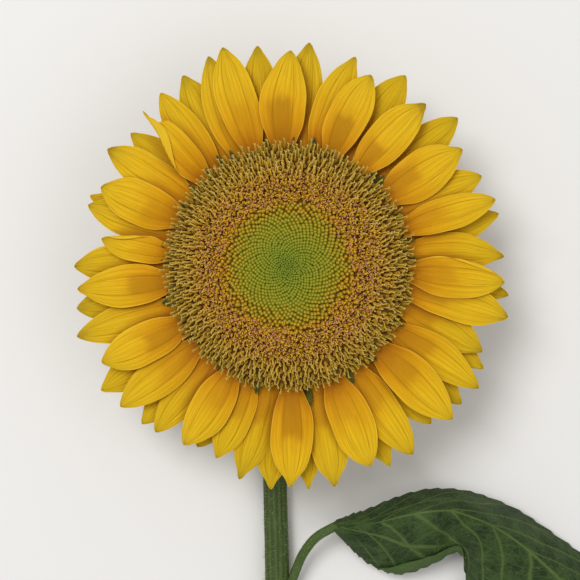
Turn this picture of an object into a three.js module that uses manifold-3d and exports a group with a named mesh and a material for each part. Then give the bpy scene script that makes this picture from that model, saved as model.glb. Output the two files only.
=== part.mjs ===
// A cut sunflower laid down: the head faces up, and the stem lies along the surface towards -Y.
// Millimetres, +Z up. Everything is set out about the middle of the head, and at the end the whole
// flower is moved so that the origin lies under the middle of its box, on the surface it rests on.

import * as THREE from 'three';
import { mergeVertices } from 'three/addons/utils/BufferGeometryUtils.js';
import Module from 'manifold-3d';

const wasm = await Module();
wasm.setup();

// Driving dimensions, in mm

const GAP = 0.3;                       // clearance between neighbouring pieces

const STEM_LENGTH = 200;               // from the middle of the head to the cut end
const STEM_RADIUS = 4.4;               // half the thickness of the stem below the head
const CUT_RADIUS = 4.9;                // at the cut end
const NECK_RADIUS = 8.6;               // where the neck spreads into the back of the head
const STEM_SIDES = 12;
const STEM_RINGS = 26;

const BACK_HEIGHT = 21;                // underside of the head above the surface
const SHELF_HEIGHT = 34.2;             // rim of the green back, which carries the petals' roots
const BOSS_HEIGHT = 38;                // top of the green back inside the petals' roots
const BACK_RADIUS = 41.6;              // the green back's rim
const BOSS_RADIUS = 32.4;

const ROOT_RING_TOP = 38;              // ring that the petals grow from
const ROOT_RING_INNER = BOSS_RADIUS + 0.6;
const ROOT_RING_OUTER = 41.2;
const ROOT_RADIUS = 38.5;              // where each petal starts, inside the ring
const PETAL_HALF_THICKNESS = 0.3;
const PETAL_ROOT_HEIGHT = 35.2;        // root of a petal of the backmost layer
const PETAL_LAYER_STEP = 0.6;          // rise of the root from one layer to the next
const PETAL_CHANNEL = 0.45;            // how deep a petal is hollowed along its middle

const DISC_BASE = BOSS_HEIGHT + GAP;   // underside of the florets
const DISC_RADIUS = 41;
const BUD_RADIUS = 21;                 // green buds inside, open florets outside
const BUD_HEIGHT = 1.1;                // how far a closed bud stands up
const FLORET_HEIGHT = 4.6;             // how far the outer florets stand up
const FLORET_LEAN = 2.6;               // how far the outermost florets' tips lean outwards
const BUD_PITCH = 1.1;                 // spacing constants of the two spirals
const FLORET_PITCH = 1.5;

const BRACT_HALF_THICKNESS = 0.4;
const LEAF_HALF_THICKNESS = 0.45;
const LEAF_TOOTH = 1.3;                // how far the teeth of the leaf stand out

const GOLDEN_TURN = Math.PI * (3 - Math.sqrt(5));

// Ray petals: angle of the tip and of the root (degrees, counter-clockwise from +X), reach of the tip
// from the middle of the head, half-width at the widest place (mm), and layer from 0, back, to 4, front.

const PETALS = [
  [2.9, 7, 74.4, 6.6, 2], [14.3, 13, 75.1, 6.4, 0], [18.1, 18.5, 74.6, 5.8, 4],
  [25.3, 27, 73.6, 6.2, 2], [34.3, 36, 72, 8, 4], [41.5, 43, 78.2, 6.8, 0],
  [50.1, 54, 73.1, 7, 4], [58.7, 61, 77.9, 6.8, 0], [66.8, 69, 71.7, 6.9, 4],
  [72.5, 76, 76.1, 6.8, 2], [84.9, 85, 78.2, 6.8, 0], [89.5, 93, 74.4, 8, 4],
  [98.2, 100, 77.5, 6.6, 0], [106.9, 107, 79.2, 6.9, 3], [110.9, 114, 77.9, 6.6, 2],
  [118.9, 120, 76.1, 6.2, 0], [126.5, 127, 74.8, 5.8, 2], [133.1, 134, 73.4, 5.6, 4],
  [139.7, 140, 72, 6, 0], [146.9, 145.5, 74.8, 6.4, 3], [157, 156, 70.3, 7.4, 4],
  [160.3, 161, 73.4, 6.2, 0], [162.9, 164, 72.7, 6.2, 2], [171.5, 173.5, 65.2, 5, 4],
  [179.7, 179, 74.4, 6.4, 1], [186, 187, 73.1, 7.3, 4], [191, 192, 75.1, 6.4, 0],
  [198, 200, 77.2, 6.8, 2], [207, 208, 72.2, 6.9, 4], [213.3, 214, 78, 6.4, 0],
  [219.5, 220.5, 75.5, 6.6, 3], [226.7, 227, 74.6, 6.2, 0], [230.9, 230, 73.4, 6.4, 2],
  [239.4, 241, 71, 7, 4], [242.9, 245, 70, 5.8, 0], [249.1, 250.5, 70.7, 6.2, 2],
  [256.8, 259, 75.5, 6.6, 1], [265.3, 265, 77.3, 6.2, 0], [270.3, 271, 75.6, 7.3, 4],
  [275, 276.5, 77.3, 5.8, 0], [281.8, 282.5, 77.5, 6.6, 2], [292.1, 292, 73.9, 7.3, 4],
  [296.9, 297, 77.5, 5.8, 0], [303.3, 303, 77.2, 6.4, 3], [312.3, 311, 73.4, 5.8, 0],
  [316.9, 317.5, 76.8, 7.6, 4], [321.5, 323, 76.5, 5.8, 0], [327.5, 329, 77.5, 6.6, 3],
  [332.5, 335, 76.1, 6, 0], [336.3, 341, 72.9, 6.4, 2], [347, 349, 77.2, 6.6, 3],
  [352.8, 355, 76.8, 6.2, 0], [356, 357.5, 74.3, 7.2, 4],
];

// Outline of a petal: half-width, as a share of the widest, at shares of its length. The tip follows.
// The petal runs level until it is clear of the florets.

const LEVEL_SHARE = 0.11;
const PETAL_OUTLINE = [[0, 0.5], [LEVEL_SHARE, 0.62], [0.32, 0.93], [0.52, 1], [0.72, 0.85], [0.9, 0.42]];

// Rows of bracts, from the one just under the petals to the lowest: how many, angle of the first,
// half-width, and the line of the bract as [radius, height]. In the lowest row every other bract
// turns down until its tip rests on the surface, except next to the stem.

const BRACT_ROWS = [
  { count: 15, first: 3, halfWidth: 5.6, line: [[37, 32.4], [44, 33.2], [50.5, 33.1], [58, 32.2]] },
  { count: 13, first: 15, halfWidth: 6, line: [[32, 28.4], [42, 29], [52, 26.6], [62, 22.4]] },
  { count: 12, first: 8, halfWidth: 6.2, line: [[24, 24.6], [36, 24.2], [46, 20.8], [56, 14]] },
];
const BRACT_OUTLINE = [[0, 0.8], [0.28, 1], [0.55, 0.82], [0.8, 0.38]];
const RESTING_LINE = [[24, 24.6], [37, 23.2], [45.5, 13.5], [52, BRACT_HALF_THICKNESS]];
const STEM_SECTOR = 24;                // degrees each side of the stem where no bract turns down

// Route of the stem as [x, y, height, radius]: along the surface, then up the neck to the head.

const STEM_ROUTE = [
  [-3, -STEM_LENGTH, CUT_RADIUS, CUT_RADIUS],
  [-3.7, -150, 4.6, 4.6],
  [-4.4, -109, 4.5, 4.5],
  [-5.2, -76, STEM_RADIUS, STEM_RADIUS],
  [-5.2, -45, 4.5, 4.5],
  [-4.2, -24, 4.8, 4.8],
  [-2.6, -10.5, 6.4, 5.2],
  [-0.9, -2.6, 12, 6],
  [0, 0, 17, 7],
  [0, 0, BACK_HEIGHT - GAP, NECK_RADIUS],
];

// The leaf: its stalk from the stem to the blade, and along the blade the midrib, the near margin
// and the far margin, each as [x, y, height].

const LEAF_STALK = [[2.1, -111, 6.2], [4.6, -104.5, 8.2], [9.5, -97.5, 10.6], [17.5, -92.6, 12.4]];
const LEAF_STALK_RADIUS = 1.7;
const LEAF_MIDRIB = [
  [15.5, -93, 12], [22, -90.5, 15], [31, -87.5, 18.5], [42, -85, 21.5], [54, -84.5, 23],
  [66, -87.5, 22.5], [78, -94, 20.5], [90, -103.5, 17.5], [102, -116, 13.5], [113, -131, 9.5],
  [123, -148, 6], [131, -166, 3],
];
const LEAF_NEAR_MARGIN = [
  [17, -95.6, 11.5], [22.5, -102, 8], [29, -108.5, 5], [39, -113, 6], [51, -110.5, 9],
  [61, -107, 9.5], [65, -120, 6], [68, -138, 2], [76, -156, 1], [89, -171, 1],
  [105, -181, 1], [120, -186, 1],
];
const LEAF_FAR_MARGIN = [
  [17, -90.6, 11.5], [22, -86.5, 11], [30, -83, 9.5], [42, -80, 8.5], [55, -79, 7],
  [69, -81, 5.5], [84, -87, 4], [99, -97, 2.5], [114, -109.5, 1.5], [129, -125, 1],
  [140, -143, 1], [143, -163, 1],
];
const LEAF_TIP = [141, -189, LEAF_HALF_THICKNESS];
const LEAF_ROWS = 24;

// Helpers

// Seeded random numbers from 0 to 1, so that every build gives the same flower.
function randomSource(seed) {
  let state = seed;
  return () => {
    state = (state * 1664525 + 1013904223) % 4294967296;
    return state / 4294967296;
  };
}

function polar(radius, degrees, height) {
  const angle = THREE.MathUtils.degToRad(degrees);
  return new THREE.Vector3(radius * Math.cos(angle), radius * Math.sin(angle), height);
}

function vectors(rows) {
  return rows.map(([x, y, z]) => new THREE.Vector3(x, y, z));
}

// Closed body from points and triangles, with its faces turned outwards.
function closedBody(points, triangles) {
  let volume = 0;
  for (let i = 0; i < triangles.length; i += 3) {
    const [a, b, c] = [points[triangles[i]], points[triangles[i + 1]], points[triangles[i + 2]]];
    volume += a.dot(b.clone().cross(c));
  }
  const geometry = new THREE.BufferGeometry().setFromPoints(points);
  geometry.setIndex(volume > 0 ? triangles : triangles.slice().reverse());
  return geometry;
}

// Body turned about the Z axis from a profile of [radius, height] that starts and ends on the axis
// or closes on itself.
function turned(profile, segments) {
  const lathe = new THREE.LatheGeometry(profile.map(([r, z]) => new THREE.Vector2(r, z)), segments);
  lathe.rotateX(Math.PI / 2);
  lathe.deleteAttribute('normal');
  lathe.deleteAttribute('uv');
  const merged = mergeVertices(lathe, 1e-4);
  const position = merged.getAttribute('position');
  const points = Array.from({ length: position.count }, (_, i) =>
    new THREE.Vector3().fromBufferAttribute(position, i));
  const triangles = [];
  for (let i = 0; i < merged.index.count; i += 3) {
    const [a, b, c] = [0, 1, 2].map((corner) => merged.index.getX(i + corner));
    if (a !== b && b !== c && c !== a) triangles.push(a, b, c);
  }
  return closedBody(points, triangles);
}

function toSolid(geometry) {
  return new wasm.Manifold(new wasm.Mesh({
    numProp: 3,
    vertProperties: new Float32Array(geometry.getAttribute('position').array),
    triVerts: new Uint32Array(geometry.index.array),
  }));
}

function toGeometry(solid) {
  const mesh = solid.getMesh();
  const geometry = new THREE.BufferGeometry();
  geometry.setAttribute('position', new THREE.BufferAttribute(mesh.vertProperties, 3));
  geometry.setIndex(new THREE.BufferAttribute(mesh.triVerts, 1));
  return geometry;
}

function fuse(geometries) {
  return toGeometry(geometries.map(toSolid).reduce((whole, piece) => whole.add(piece)));
}

// Thin blade: rows of points from root to tip, each row from the blade's right to its left as seen
// from above looking along it, and for each row the offset to its upper face. The last row is one
// point. Both faces are split into triangles alike.
function blade(rows, lifts) {
  const points = [];
  const grid = rows.map((row, i) => row.map((point) => {
    points.push(point.clone().add(lifts[i]), point.clone().sub(lifts[i]));
    return points.length - 2;
  }));
  const triangles = [];
  const face = (a, b, c) => triangles.push(a, b, c, a + 1, c + 1, b + 1);
  const wall = (a, b) => triangles.push(a + 1, b + 1, b, a + 1, b, a);
  const columns = rows[0].length - 1;
  const tip = grid.at(-1)[0];
  for (let i = 0; i < grid.length - 2; i++) {
    for (let j = 0; j < columns; j++) {
      face(grid[i][j], grid[i + 1][j], grid[i + 1][j + 1]);
      face(grid[i][j], grid[i + 1][j + 1], grid[i][j + 1]);
    }
    wall(grid[i][0], grid[i + 1][0]);
    wall(grid[i + 1][columns], grid[i][columns]);
  }
  const last = grid.at(-2);
  for (let j = 0; j < columns; j++) {
    face(last[j], tip, last[j + 1]);
    wall(grid[0][j + 1], grid[0][j]);
  }
  wall(last[0], tip);
  wall(tip, last[columns]);
  return closedBody(points, triangles);
}

// Round rod along a route of [x, y, height, radius], with flat ends.
function rod(route, rings, sides) {
  const line = new THREE.CatmullRomCurve3(vectors(route), false, 'catmullrom', 0.5);
  const thickness = new THREE.CatmullRomCurve3(
    route.map((row) => new THREE.Vector3(row[3], 0, 0)), false, 'catmullrom', 0.5);
  const points = [];
  const triangles = [];
  for (let i = 0; i < rings; i++) {
    const t = i / (rings - 1);
    const centre = line.getPoint(t);
    const along = line.getTangent(t);
    const across = new THREE.Vector3(1, 0, 0).addScaledVector(along, -along.x).normalize();
    const upward = across.clone().cross(along);
    const radius = thickness.getPoint(t).x;
    for (let j = 0; j < sides; j++) {
      const angle = 2 * Math.PI * j / sides - Math.PI / 2;
      points.push(centre.clone()
        .addScaledVector(across, radius * Math.cos(angle))
        .addScaledVector(upward, radius * Math.sin(angle)));
      if (i === 0) continue;
      const next = (j + 1) % sides;
      const [a, b] = [(i - 1) * sides + j, (i - 1) * sides + next];
      triangles.push(a, b, b + sides, a, b + sides, a + sides);
    }
  }
  const end = (rings - 1) * sides;
  for (let j = 1; j < sides - 1; j++) {
    triangles.push(0, j + 1, j, end, end + j, end + j + 1);
  }
  return closedBody(points, triangles);
}

// Florets set on a spiral, as relief: each one is a point with four valleys round it, on the lattice
// of the spiral's two families of arms, on a base that reaches down to height 0. With a hub, the
// middle is closed by a cap.
function floretRelief({ arms, pitch, from, to, valley, peak, hub }) {
  const [m, n] = arms;
  const armTurn = (count) => {
    const turns = count * GOLDEN_TURN / (2 * Math.PI);
    return 2 * Math.PI * (turns - Math.round(turns));
  };
  const halfStep = (armTurn(m) + armTurn(n)) / 2;
  const points = [];
  const place = (radius, angle, height) => {
    points.push(new THREE.Vector3(radius * Math.cos(angle), radius * Math.sin(angle), height));
    return points.length - 1;
  };
  const valleys = new Map();
  const valleyAt = (k) => {
    if (!valleys.has(k)) {
      const radius = pitch * Math.sqrt(k + (m + n) / 2);
      const angle = k * GOLDEN_TURN + halfStep;
      valleys.set(k, [place(radius, angle, valley(radius)), place(radius, angle, 0)]);
    }
    return valleys.get(k);
  };
  const triangles = [];
  const edges = new Map();
  for (let k = from; k < to; k++) {
    const radius = pitch * Math.sqrt(k);
    const top = place(radius, k * GOLDEN_TURN, peak(radius));
    const corners = [k, k - m, k - m - n, k - n].map((index) => valleyAt(index));
    corners.forEach((corner, side) => {
      const next = corners[(side + 1) % 4];
      triangles.push(top, corner[0], next[0]);
      edges.set(`${corner[0]},${next[0]}`, [corner, next]);
    });
    triangles.push(corners[0][1], corners[2][1], corners[1][1]);
    triangles.push(corners[0][1], corners[3][1], corners[2][1]);
  }
  const middle = hub ? [place(0, 0, peak(0)), place(0, 0, 0)] : null;
  const innerLimit = pitch * Math.sqrt(from + (m + n) / 2);
  for (const [a, b] of edges.values()) {
    if (edges.has(`${b[0]},${a[0]}`)) continue;
    const inner = Math.hypot(points[a[0]].x, points[a[0]].y) < innerLimit;
    if (hub && inner) {
      triangles.push(middle[0], b[0], a[0], middle[1], a[1], b[1]);
    } else {
      triangles.push(b[0], a[0], a[1], b[0], a[1], b[1]);
    }
  }
  return closedBody(points, triangles);
}

// Trims a relief to the ring between two radii, with a flat underside.
function trimmed(relief, inner, outer) {
  const floor = DISC_BASE;
  const ceiling = DISC_BASE + 12;
  const profile = inner > 0
    ? [[inner, floor], [outer, floor], [outer, ceiling], [inner, ceiling], [inner, floor]]
    : [[0, floor], [outer, floor], [outer, ceiling], [0, ceiling]];
  return toGeometry(toSolid(relief).intersect(toSolid(turned(profile, 72))));
}

// The pieces

function stem() {
  return rod(STEM_ROUTE, STEM_RINGS, STEM_SIDES);
}

// Bract on the line [radius, height], pointing away from the middle of the head at an angle.
function bract(line, degrees, halfWidth, keel) {
  const curve = new THREE.CatmullRomCurve3(line.map(([r, z]) => new THREE.Vector3(r, 0, z)));
  const turn = THREE.MathUtils.degToRad(degrees);
  const axis = new THREE.Vector3(0, 0, 1);
  const rows = [];
  const lifts = [];
  for (const [share, width] of [...BRACT_OUTLINE, [1, 0]]) {
    const spine = curve.getPoint(share);
    const along = curve.getTangent(share);
    const normal = new THREE.Vector3(-along.z, 0, along.x);
    const half = halfWidth * width;
    const sides = width > 0 ? [-1, 0, 1] : [0];
    rows.push(sides.map((side) => spine.clone()
      .add(new THREE.Vector3(0, side * half, 0))
      .addScaledVector(normal, keel * width * (Math.abs(side) - 0.5))
      .applyAxisAngle(axis, turn)));
    const lift = share < 1 ? normal : new THREE.Vector3(0, 0, 1);
    lifts.push(lift.multiplyScalar(BRACT_HALF_THICKNESS).applyAxisAngle(axis, turn));
  }
  return blade(rows, lifts);
}

function calyx() {
  const back = turned([
    [0, BACK_HEIGHT], [9, BACK_HEIGHT], [17, 22.4], [26, 25.2], [34, 28.8], [39, 31.8],
    [BACK_RADIUS, SHELF_HEIGHT], [BOSS_RADIUS, SHELF_HEIGHT], [BOSS_RADIUS, BOSS_HEIGHT],
    [0, BOSS_HEIGHT],
  ], 32);
  const random = randomSource(11);
  const bracts = [];
  BRACT_ROWS.forEach(({ count, first, halfWidth, line }, row) => {
    for (let i = 0; i < count; i++) {
      const degrees = first + 360 * i / count + 5 * (random() - 0.5);
      const nearStem = Math.abs(degrees % 360 - 270) < STEM_SECTOR;
      const resting = row === 2 && i % 2 === 0 && !nearStem;
      const reach = 6 * (random() - 0.5);
      const spine = resting ? RESTING_LINE : line.map(([r, z], k) => [r + reach * k / 3, z]);
      bracts.push(bract(spine, degrees, halfWidth * (0.92 + 0.16 * random()), 1.2));
    }
  });
  return fuse([back, ...bracts]);
}

// One petal from its root in the ring to its tip, rising a little and then drooping at the end.
function petal([tipAngle, rootAngle, reach, halfWidth, layer], random) {
  const length = reach - ROOT_RADIUS;
  const line = new THREE.QuadraticBezierCurve3(
    polar(ROOT_RADIUS, rootAngle, 0),
    polar(ROOT_RADIUS + 0.5 * length, rootAngle, 0),
    polar(reach, tipAngle, 0));
  const rootHeight = PETAL_ROOT_HEIGHT + PETAL_LAYER_STEP * layer;
  const rise = 0.3 + 0.45 * layer;
  const droop = 2.6 - 0.35 * layer + 1.2 * (random() - 0.5);
  const height = (share) => rootHeight - droop * share * share
    + rise * Math.sin(Math.PI / 2 * THREE.MathUtils.clamp((share - LEVEL_SHARE) / 0.45, 0, 1));
  const rows = PETAL_OUTLINE.map(([share, width]) => {
    const along = line.getTangent(share);
    const left = new THREE.Vector3(-along.y, along.x, 0);
    const channel = share > 0 ? width * PETAL_CHANNEL : 0;
    return [-1, -0.36, 0.36, 1].map((side) => line.getPoint(share)
      .addScaledVector(left, side * halfWidth * width)
      .add(new THREE.Vector3(0, 0, height(share) + channel * (side * side - 0.5))));
  });
  rows.push([line.getPoint(1).add(new THREE.Vector3(0, 0, height(1)))]);
  return blade(rows, rows.map(() => new THREE.Vector3(0, 0, PETAL_HALF_THICKNESS)));
}

function rayPetals() {
  const bottom = SHELF_HEIGHT + GAP;
  const ring = turned([
    [ROOT_RING_INNER, bottom], [ROOT_RING_OUTER, bottom], [ROOT_RING_OUTER, ROOT_RING_TOP],
    [ROOT_RING_INNER, ROOT_RING_TOP], [ROOT_RING_INNER, bottom],
  ], 72);
  const random = randomSource(5);
  return fuse([ring, ...PETALS.map((row) => petal(row, random))]);
}

function discBuds() {
  const valley = (r) => DISC_BASE + 1.2 + 0.5 * r / BUD_RADIUS;
  return trimmed(floretRelief({
    arms: [21, 34],
    pitch: BUD_PITCH,
    from: 36,
    to: Math.ceil((BUD_RADIUS / BUD_PITCH) ** 2) + 30,
    valley,
    peak: (r) => valley(r) + BUD_HEIGHT * (0.4 + 0.6 * r / BUD_RADIUS),
    hub: true,
  }), 0, BUD_RADIUS - GAP / 2);
}

// The outer edge is left ragged, as the florets end there.
function discFlorets() {
  const random = randomSource(7);
  const outwards = (r) => THREE.MathUtils.smoothstep(r, BUD_RADIUS + 1, DISC_RADIUS - 8);
  const floor = DISC_BASE + 1.5;
  const valley = (r) => floor + 0.6 * (1 - outwards(r));
  const relief = trimmed(floretRelief({
    arms: [34, 55],
    pitch: FLORET_PITCH,
    from: Math.floor((BUD_RADIUS / FLORET_PITCH) ** 2) - 45,
    to: Math.ceil((DISC_RADIUS / FLORET_PITCH) ** 2),
    valley,
    peak: (r) => valley(r) + BUD_HEIGHT
      + (FLORET_HEIGHT - BUD_HEIGHT) * outwards(r) * (0.7 + 0.3 * random()),
    hub: false,
  }), BUD_RADIUS + GAP / 2, 2 * DISC_RADIUS);
  const position = relief.getAttribute('position');
  for (let i = 0; i < position.count; i++) {
    const radius = Math.hypot(position.getX(i), position.getY(i));
    const risen = Math.max(0, position.getZ(i) - floor) / FLORET_HEIGHT;
    const scale = 1 + FLORET_LEAN * outwards(radius) * risen / radius;
    position.setX(i, position.getX(i) * scale);
    position.setY(i, position.getY(i) * scale);
  }
  return relief;
}

function leaf() {
  const [midrib, near, far] = [LEAF_MIDRIB, LEAF_NEAR_MARGIN, LEAF_FAR_MARGIN].map(
    (rows) => new THREE.CatmullRomCurve3([...vectors(rows), ...vectors([LEAF_TIP])]));
  const rows = [];
  for (let i = 0; i < LEAF_ROWS; i++) {
    const share = i / LEAF_ROWS;
    const [middle, nearEdge, farEdge] = [midrib, near, far].map((line) => line.getPoint(share));
    const tooth = i % 2 && i > 1 ? LEAF_TOOTH : 0;
    const side = (edge, part) => {
      const reach = edge.clone().sub(middle);
      const push = part === 1 ? 1 + tooth / reach.length() : part;
      const point = middle.clone().addScaledVector(reach, push);
      point.z = Math.max(LEAF_HALF_THICKNESS, point.z + 1.6 * Math.sin(Math.PI * part));
      return point;
    };
    rows.push([side(nearEdge, 1), side(nearEdge, 0.62), side(nearEdge, 0.3), middle,
      side(farEdge, 0.5), side(farEdge, 1)]);
  }
  rows.push(vectors([LEAF_TIP]));
  const lifts = rows.map(() => new THREE.Vector3(0, 0, LEAF_HALF_THICKNESS));
  const stalk = rod(LEAF_STALK.map((row) => [...row, LEAF_STALK_RADIUS]), 9, 8);
  return fuse([blade(rows, lifts), stalk]);
}

// Colours, as seen on the flower

const MATERIALS = {
  stem: { color: 0x5f7f3a, roughness: 0.7 },
  calyx: { color: 0x3f5c2c, roughness: 0.75 },
  petals: { color: 0xe6b81c, roughness: 0.55 },
  florets: { color: 0xb08a38, roughness: 0.8 },
  buds: { color: 0x8a9a2b, roughness: 0.65 },
  leaf: { color: 0x4a6e32, roughness: 0.7 },
};

function part(name, geometry, finish) {
  const material = new THREE.MeshStandardMaterial({ ...MATERIALS[finish], metalness: 0 });
  const mesh = new THREE.Mesh(geometry, material);
  mesh.name = name;
  return mesh;
}

const flower = new THREE.Group();
flower.add(
  part('stem', stem(), 'stem'),
  part('calyx', calyx(), 'calyx'),
  part('ray_petals', rayPetals(), 'petals'),
  part('disc_florets', discFlorets(), 'florets'),
  part('disc_buds', discBuds(), 'buds'),
  part('leaf', leaf(), 'leaf'),
);

const box = new THREE.Box3().setFromObject(flower, true);
const middle = box.getCenter(new THREE.Vector3());
flower.position.set(-middle.x, -middle.y, -box.min.z);

export default flower;
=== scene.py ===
"""A cut sunflower that lies on its stem with the head facing up.

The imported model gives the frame. Every plain solid of it is replaced here by finer pieces that
keep its form: veined petals, a spiral disc of buds, florets and stigmas, hairy green bracts, a
ribbed stem and a toothed leaf. Sizes are in millimetres about the middle of the head, and Seat
turns them into metres in the model's frame.
"""

import logging
from collections.abc import Callable, Iterator
from contextlib import contextmanager
from dataclasses import dataclass, field
from enum import Enum

import bmesh
import bpy
import numpy as np
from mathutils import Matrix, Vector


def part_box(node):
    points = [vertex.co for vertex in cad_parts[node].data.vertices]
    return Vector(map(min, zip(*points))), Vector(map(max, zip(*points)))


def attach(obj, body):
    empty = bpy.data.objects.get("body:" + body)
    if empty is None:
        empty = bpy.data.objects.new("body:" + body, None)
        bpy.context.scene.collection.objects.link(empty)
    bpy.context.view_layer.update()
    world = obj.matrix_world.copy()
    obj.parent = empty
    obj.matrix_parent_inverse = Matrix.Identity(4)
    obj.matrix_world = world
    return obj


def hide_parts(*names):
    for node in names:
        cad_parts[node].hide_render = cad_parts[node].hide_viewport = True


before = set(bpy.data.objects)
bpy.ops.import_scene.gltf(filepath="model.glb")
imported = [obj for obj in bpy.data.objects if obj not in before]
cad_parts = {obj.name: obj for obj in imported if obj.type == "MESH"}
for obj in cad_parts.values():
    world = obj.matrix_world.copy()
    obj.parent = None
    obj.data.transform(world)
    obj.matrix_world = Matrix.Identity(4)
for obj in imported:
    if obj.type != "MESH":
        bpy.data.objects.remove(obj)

log = logging.getLogger("sunflower")

MM = 0.001
GOLDEN_TURN = np.pi * (3 - np.sqrt(5))
Array = np.ndarray
Stops = list[tuple[float, str]]
Surface = Callable[[Array, Array], Array]


# Heights and radii of the head, in mm, and the stem's ribs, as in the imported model

DISC_BASE = 38.3
DISC_RADIUS = 41.0
ROOT_RADIUS = 38.5
PETAL_ROOT_HEIGHT = 35.2
PETAL_LAYER_STEP = 0.6
BACK_PROFILE = [
    (9, 21), (17, 22.4), (26, 25.2), (34, 28.8), (39, 31.8), (41.6, 34.2), (32.4, 34.2), (32.4, 38),
]
STEM_RIBS = 14


def tint(code: str) -> tuple[float, float, float, float]:
    """Turn a display colour into linear light.

    Args:
        code: The colour as #rrggbb.

    Returns:
        Red, green, blue and an alpha of 1, in linear light.
    """
    shares = [int(code[i : i + 2], 16) / 255 for i in (1, 3, 5)]
    light = [s / 12.92 if s <= 0.04045 else ((s + 0.055) / 1.055) ** 2.4 for s in shares]
    return (light[0], light[1], light[2], 1.0)


def polar(radius: float, degrees: float) -> Array:
    """Return the plan point at a radius and an angle."""
    return np.array([radius * np.cos(np.radians(degrees)), radius * np.sin(np.radians(degrees))])


def smooth_curve(stops: list[tuple[float, float]], at: Array) -> Array:
    """Read a smooth curve through a few stops.

    Args:
        stops: Pairs of place and value, in rising order of place.
        at: Places to read the curve at.

    Returns:
        The value at each place, held level past the first and the last stop.
    """
    places = np.array([s[0] for s in stops], float)
    values = np.array([s[1] for s in stops], float)
    slopes = np.gradient(values, places)
    at = np.clip(at, places[0], places[-1])
    lower = np.clip(np.searchsorted(places, at, side="right") - 1, 0, len(places) - 2)
    width = places[lower + 1] - places[lower]
    t = (at - places[lower]) / width
    return (
        (2 * t**3 - 3 * t**2 + 1) * values[lower]
        + (t**3 - 2 * t**2 + t) * width * slopes[lower]
        + (-2 * t**3 + 3 * t**2) * values[lower + 1]
        + (t**3 - t**2) * width * slopes[lower + 1]
    )


def along_route(points: list[tuple[float, ...]], share: Array) -> Array:
    """Follow a smooth route through points.

    Args:
        points: The points that the route passes, each with any number of values.
        share: How far along the route, from 0 to 1.

    Returns:
        One row of values for each share.
    """
    knots = np.array(points, float)
    knots = np.vstack([2 * knots[0] - knots[1], knots, 2 * knots[-1] - knots[-2]])
    place = np.clip(share, 0, 1) * (len(points) - 1)
    lower = np.minimum(place.astype(int), len(points) - 2)
    t = (place - lower)[:, None]
    a, b, c, d = (knots[lower + i] for i in range(4))
    return 0.5 * (
        2 * b + (c - a) * t + (2 * a - 5 * b + 4 * c - d) * t**2 + (3 * b - a - 3 * c + d) * t**3
    )


def smooth_step(value: Array, start: float, end: float) -> Array:
    """Rise softly from 0 at start to 1 at end."""
    t = np.clip((value - start) / (end - start), 0, 1)
    return t * t * (3 - 2 * t)


def unit(vectors: Array) -> Array:
    """Return the vectors at length 1."""
    return vectors / np.maximum(np.linalg.norm(vectors, axis=-1, keepdims=True), 1e-9)


# Shapes


@dataclass
class Shape:
    """Points and triangles of a piece in the making, in mm, with named numbers on its points."""

    points: Array
    triangles: Array
    values: dict[str, Array] = field(default_factory=dict)

    @staticmethod
    def joined(shapes: list["Shape"]) -> "Shape":
        """Put several shapes that carry the same named numbers into one.

        Args:
            shapes: The shapes, at least one.

        Returns:
            One shape that holds them all.
        """
        starts = np.cumsum([0] + [len(s.points) for s in shapes[:-1]])
        return Shape(
            np.vstack([s.points for s in shapes]),
            np.vstack([s.triangles + start for s, start in zip(shapes, starts)]),
            {k: np.concatenate([s.values[k] for s in shapes]) for k in shapes[0].values},
        )

    def marked(self, **numbers: float) -> "Shape":
        """Return the shape with each named number set on all its points."""
        extra = {k: np.full(len(self.points), float(v)) for k, v in numbers.items()}
        return Shape(self.points, self.triangles, {**self.values, **extra})

    def moved(self, shift: tuple[float, float, float]) -> "Shape":
        """Return the shape moved by a shift in mm."""
        return Shape(self.points + np.array(shift, float), self.triangles, self.values)

    def bent(self, turn: float, heading: float) -> "Shape":
        """Curl an upright shape over.

        Args:
            turn: Angle between the foot and the top, in degrees.
            heading: Compass direction that it curls towards, in degrees from +X.

        Returns:
            The curled shape, as long as before.
        """
        height = self.points[:, 2].max()
        bend = np.radians(turn)
        angle = bend * self.points[:, 2] / height
        ahead = np.append(polar(1, heading), 0)
        aside = np.append(polar(1, heading + 90), 0)
        forward = self.points @ ahead
        arc = height / bend
        out = arc * (1 - np.cos(angle)) + forward * np.cos(angle)
        up = arc * np.sin(angle) - forward * np.sin(angle)
        points = (
            out[:, None] * ahead
            + (self.points @ aside)[:, None] * aside
            + up[:, None] * np.array([0, 0, 1.0])
        )
        return Shape(points, self.triangles, self.values)

    def copied(self, points: Array, values: dict[str, Array]) -> "Shape":
        """Set out copies of this shape.

        Args:
            points: Points of every copy, copies × points × 3.
            values: Named numbers, one for each copy, added to the shape's own.

        Returns:
            One shape with all the copies.
        """
        count, size = points.shape[:2]
        shifts = np.arange(count)[:, None, None] * size
        own = {k: np.tile(v, count) for k, v in self.values.items()}
        each = {k: np.repeat(v, size) for k, v in values.items()}
        triangles = (self.triangles[None] + shifts).reshape(-1, 3)
        return Shape(points.reshape(-1, 3), triangles, {**own, **each})


def ordered(points: Array, corners: Array) -> tuple[Array, Array]:
    """Put a mesh in an order that is the same in each run, which Blender's own order is not.

    Args:
        points: The points.
        corners: The numbers of the points at each triangle's corners.

    Returns:
        The same points and triangles, in order of place.
    """
    order = np.lexsort(np.round(points, 4).T)
    corners = np.argsort(order)[corners]
    first = corners.argmin(axis=1)[:, None]
    corners = np.take_along_axis(corners, (first + np.arange(3)) % 3, axis=1)
    return points[order], corners[np.lexsort(corners.T)]


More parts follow.
